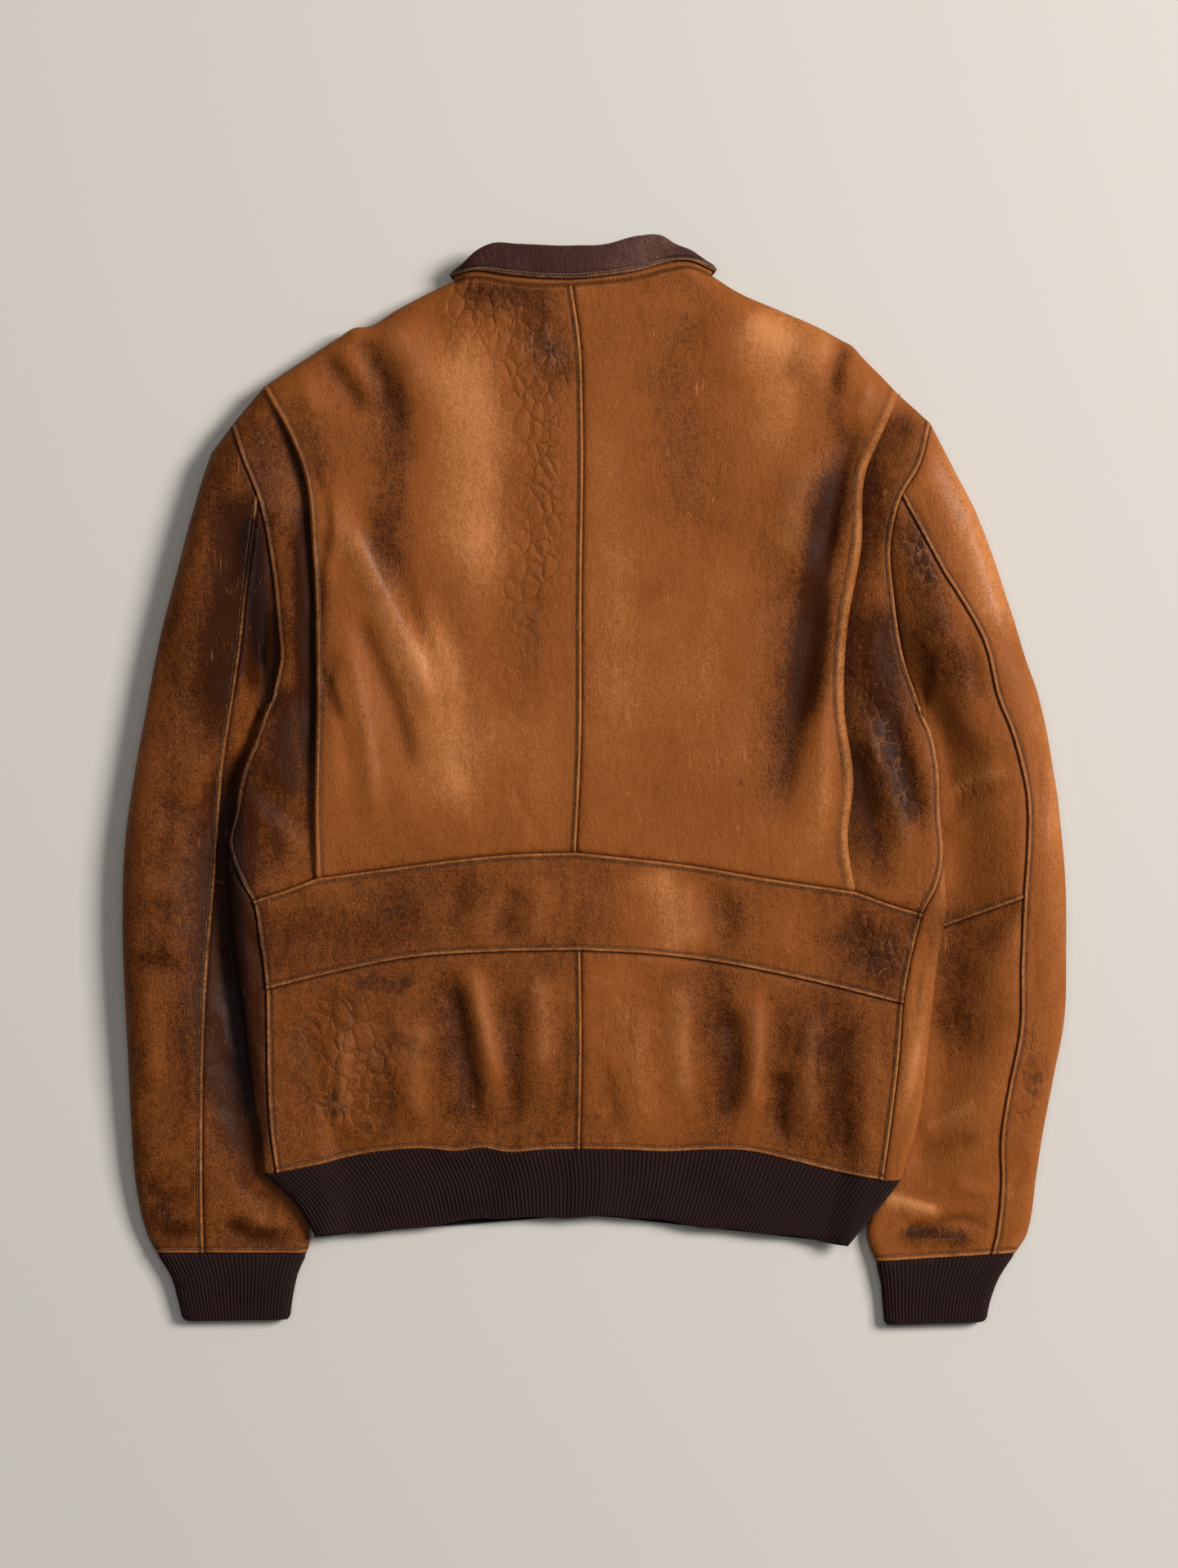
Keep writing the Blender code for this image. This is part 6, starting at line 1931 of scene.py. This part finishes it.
# the tone attribute brings the painted highlights and painted shade of the tables; creasing paints
# the ridges of creases lighter and their troughs darker, a painted highlight and painted shade
tone = tone + noise(at, 4.6, 5.0, 0.3).swing(0.26) + toned * 1.1 + creasing * 0.18 + 0.5
tone = tone - given["Pebbles"] * 0.16
low = blend(remap(tone, -0.2, 0.5), given["Dark"], given["Mid"])
colour = blend(remap(tone, 0.45, 1.2), low, given["Light"])
# the net of cracks is dark between swollen cells, and pale where the hide is stained
cracks = given["Crack lines"]
colour = blend((attribute(t, "crack") * 0.12).clamped(), colour, given["Dark"])
colour = blend(cracks * 0.42, colour, given["Dark"])
colour = blend(cracks * remap(stained, 0.1, 0.5) * 0.5, colour, given["Light"])
# rubbed ridges and seams
patchy = remap(noise(at, 2.4, 4.0), 0.32, 0.62, 0.3, 1.0)
patchy = patchy * remap(noise(at, 26.0, 2.0), 0.38, 0.6, 0.45, 1.0)
ridges = remap(creasing, 0.3, 0.85) * (patchy * 0.3)
rubbing = (attribute(t, "worn") * patchy * 0.4).math("MAXIMUM", ridges).clamped()
colour = blend(rubbing, colour, given["Rubbed"])
# dirt in stitch lines and stains, with painted shade along lapped seam lines and in crease troughs
dirt_and_painted_shade = (attribute(t, "thread") * 0.72).math("MAXIMUM", remap(creasing, -0.3, -1.3) * 0.3)
soaked = remap(noise(at, 8.0, 4.0, 0.8) * 0.9 + stained * 0.55, 0.58, 0.98)
dirt_and_painted_shade = dirt_and_painted_shade.math("MAXIMUM", soaked * remap(stained, 0.03, 0.3) * 0.55).clamped()
# painted shade: where the painted tone falls below -0.7, in recesses and between the sleeves and
# the body, the colour goes to the darkest brown
dirt_and_painted_shade = dirt_and_painted_shade.math("MAXIMUM", remap(toned, -0.7, -1.4) * 0.97)
colour = blend(dirt_and_painted_shade, colour, given["Stain"])
# thin pale scratches in two directions, and a few dark pores
for turn, stretch in ((35, 0.05), (-50, 0.07)):
    thread_noise = noise(millimetres(t, (1, stretch, 1), turn), 3.0, 1.0)
    hair = remap((thread_noise - 0.5).math("ABSOLUTE"), 0.006, 0.0)
    where = remap(noise(at, 26.0 + turn / 10, 2.0), 0.58, 0.68)
    colour = blend(hair * (where * 0.38), colour, given["Rubbed"])
colour = blend(remap(cells(at, 11.0), 0.055, 0.03) * 0.6, colour, given["Stain"])
put(colour, result["Color"])
rough = speckled.swing(0.3) + 0.47 + streaky.swing(0.22) - stained * 0.1
put((rough + rubbing * 0.12).clamped(), result["Roughness"])
# handled and stained places have gone shiny
shine = remap(toned, 0.15, 0.45) * 0.2 + stained * 0.25
shine = (shine + remap(creasing, 0.15, 0.7) * 0.3).clamped()
put(shine * remap(speckled, 0.35, 0.6), result["Shine"])
print("leather colour", len(t.nodes), "nodes")

# %% Two leathers
def new_material(name, **numbers):
    """A material, its tree and its shader. The numbers are set on the shader's own sockets."""
    made = bpy.data.materials.new(name)
    made.use_nodes = True
    surface = made.node_tree.nodes["Principled BSDF"]
    for key, value in numbers.items():
        surface.inputs[key.replace("_", " ")].default_value = value
    return made, made.node_tree, surface


def use_group(tree, group, **values):
    """Places a group in a tree and gives back its outputs as fields."""
    made = tree.nodes.new("ShaderNodeGroup")
    made.node_tree = group
    for key, value in values.items():
        put(value, made.inputs[key.replace("_", " ")])
    return {socket.name: Field(tree, socket) for socket in made.outputs}


def finish_with(surface, colour, height):
    """Gives a shader its colour, and bumps from a height in millimetres."""
    made = height.tree.nodes.new("ShaderNodeBump")
    made.inputs["Distance"].default_value = MM
    put(height, made.inputs["Height"])
    put(Field(height.tree, made.outputs[0]), surface.inputs["Normal"])
    put(colour, surface.inputs["Base Color"])


def leather(name, grain, wrinkles, **colours):
    made, tree, surface = new_material(name, Coat_Roughness=0.36, Specular_IOR_Level=0.06)
    relief = use_group(tree, relief_group, Grain=grain, Wrinkles=wrinkles)
    parts = use_group(tree, colour_group, Crack_lines=relief["Crack lines"],
                      Pebbles=relief["Pebbles"],
                      **{key: (*colour, 1) for key, colour in colours.items()})
    finish_with(surface, parts["Color"], relief["Height"])
    put(parts["Roughness"], surface.inputs["Roughness"])
    put(parts["Shine"], surface.inputs["Coat Weight"])
    return made


# the stain colour also paints the shade of the darkest places, lapped seam lines and troughs
cognac = leather("cognac_leather", 1.0, 1.0, Dark=(0.038, 0.0085, 0.0012),
                 Mid=(0.250, 0.071, 0.014), Light=(0.500, 0.185, 0.056),
                 Rubbed=(0.620, 0.260, 0.085), Stain=(0.014, 0.0045, 0.0032))
dark_brown = leather("dark_brown_leather", 0.8, 1.5, Dark=(0.018, 0.0062, 0.0048),
                     Mid=(0.052, 0.019, 0.014), Light=(0.150, 0.068, 0.052),
                     Rubbed=(0.400, 0.190, 0.085), Stain=(0.007, 0.003, 0.003))
print("leathers", cognac.name, dark_brown.name)

# %% [markdown]
# ### Knit, thread and brass
#
# The ribs are already shaped, so the knit only adds its small loops and some fuzz. The
# `thread` number tells how deep in a valley a point lies, and darkens the yarn there as painted
# shade. Thread and brass get a little age.

# %% Knit and thread
knit, tree, surface = new_material("maroon_rib_knit", Roughness=0.88, Specular_IOR_Level=0.15,
                                   Sheen_Weight=0.05, Sheen_Roughness=0.5)
at = millimetres(tree)
fuzz = noise(at, 0.7)
loops = texture("Wave", at, Scale=0.314 / 1.35, Distortion=1.6, Detail=2.0, Detail_Scale=3.0)
loops.wave_type, loops.bands_direction = "BANDS", "Y"
rows_of_loops = Field(tree, loops.outputs["Fac"])
shade = fuzz * 0.5 + noise(at, 30.0) * 0.35 + rows_of_loops * 0.25
# deep in the valleys between the ribs the yarn is darker: painted shade
shade = shade - attribute(tree, "thread") * 0.75
yarn = blend(remap(shade, 0.0, 0.85), (0.0055, 0.0018, 0.0017, 1), (0.034, 0.0105, 0.0092, 1))
lint = remap(noise(millimetres(tree, (1, 0.4, 1), 30), 1.3, 1.0), 0.74, 0.8)
yarn = blend(lint * 0.3, yarn, (0.16, 0.085, 0.07, 1))
finish_with(surface, yarn, fuzz * 0.22 + rows_of_loops * 0.26)

sewing_thread, tree, surface = new_material("sewing_thread", Roughness=0.7)
aged = noise(millimetres(tree), 5.0) + attribute(tree, "tone") * 0.5
colour = blend(remap(aged, 0.3, 1.0), (0.026, 0.009, 0.004, 1), (0.42, 0.21, 0.09, 1))
finish_with(surface, colour, noise(millimetres(tree, turn=40), 0.35, 1.0) * 0.08)

# %% Brass and tape
brass, tree, surface = new_material("old_brass", Metallic=1.0)
at = millimetres(tree)
patina = remap(noise(at, 2.2, 4.0, 0.4), 0.42, 0.68)
colour = blend(patina, (0.52, 0.34, 0.13, 1), (0.11, 0.066, 0.028, 1))
put(remap(noise(at, 1.1), 0.3, 0.7, 0.28, 0.55), surface.inputs["Roughness"])
finish_with(surface, colour, noise(at, 0.6, 2.0) * 0.05)

tape, tree, surface = new_material("zip_tape", Roughness=0.85)
weave = noise(millimetres(tree, (1, 0.5, 1)), 0.5, 2.0)
colour = blend(weave, (0.020, 0.010, 0.007, 1), (0.060, 0.030, 0.020, 1))
finish_with(surface, colour, weave * 0.12)

# %% Give every piece its finish
finishes = {"collar_leaf_leather": dark_brown, "hem_knit": knit, "cuff_knit_left": knit,
            "cuff_knit_right": knit}
for piece in [thing for thing in bpy.data.objects if thing.type == "MESH"]:
    finish = None
    if piece.name in sewn_with:
        finish = sewing_thread
    elif piece.name in ("zip_slider", "zip_pull", "zip_teeth"):
        finish = brass
    elif piece.name == "zip_tapes":
        finish = tape
    elif piece.name in cut_sizes:
        finish = finishes.get(piece.name, cognac)
    if finish:
        piece.data.materials.clear()
        piece.data.materials.append(finish)
        print(piece.name, "is", finish.name)

# %% [markdown]
# ## Floor, light and camera
#
# The jacket lies on a plain pale floor. One large soft lamp stands high on the right, so the
# shadow falls to the left, and the world fills the rest. The camera looks straight down through
# a long lens. Seen from below, the floor is left out of the picture.

# %% Floor
bpy.ops.mesh.primitive_plane_add(size=6, location=(0, 0, -0.0004))
floor = bpy.context.object
floor.name = "pale_floor"
floor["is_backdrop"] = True
pale, tree, surface = new_material("pale_floor", Base_Color=(0.60, 0.565, 0.515, 1),
                                   Roughness=0.9, Specular_IOR_Level=0.2)
below = tree.nodes.new("ShaderNodeNewGeometry")
clear = tree.nodes.new("ShaderNodeBsdfTransparent")
choose = tree.nodes.new("ShaderNodeMixShader")
tree.links.new(below.outputs["Backfacing"], choose.inputs[0])
tree.links.new(surface.outputs[0], choose.inputs[1])
tree.links.new(clear.outputs[0], choose.inputs[2])
tree.links.new(choose.outputs[0], tree.nodes["Material Output"].inputs["Surface"])
floor.data.materials.append(pale)

# %% Light
def lamp(name, place, size, power, colour=(1, 1, 1)):
    data = bpy.data.lights.new(name, "AREA")
    data.shape = "RECTANGLE"
    data.size, data.size_y = size
    data.energy = power
    data.color = colour
    made = bpy.data.objects.new(name, data)
    made.location = place
    made.rotation_euler = (-made.location).to_track_quat("-Z", "Y").to_euler()
    bpy.context.scene.collection.objects.link(made)


lamp("window", (4.0, 1.6, 3.6), (1.9, 1.9), 420, (1, 0.985, 0.96))
lamp("overhead", (-0.3, 1.2, 4.2), (3.0, 3.0), 36)
world = bpy.data.worlds.new("soft_room")
bpy.context.scene.world = world
world.use_nodes = True
background = world.node_tree.nodes["Background"]
background.inputs["Color"].default_value = (0.92, 0.95, 1, 1)
background.inputs["Strength"].default_value = 0.12

# %% Camera
view_height = 1.083
camera_height = 3.2
camera_data = bpy.data.cameras.new("camera")
camera_data.sensor_fit = "VERTICAL"
camera_data.sensor_height = 36
camera_data.lens = 36 * (camera_height - 0.02) / view_height
camera = bpy.data.objects.new("camera", camera_data)
camera.location = (-0.0037, -0.0020, camera_height)
bpy.context.scene.collection.objects.link(camera)
bpy.context.scene.camera = camera
bpy.context.scene.view_settings.view_transform = "Standard"
print("lens", round(camera_data.lens, 1), "mm")

# %% Check and finish
low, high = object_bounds()
print("model in mm", [round(c / MM, 1) for c in low], [round(c / MM, 1) for c in high])
counted = {}
for thing in bpy.data.objects:
    if thing.name in cut_sizes or thing.name in sewn_with:
        ready = thing.evaluated_get(bpy.context.evaluated_depsgraph_get()).to_mesh()
        ready.calc_loop_triangles()
        counted[thing.name] = len(ready.loop_triangles)
print("triangles in all", sum(counted.values()), "and in the largest piece", max(counted.values()))
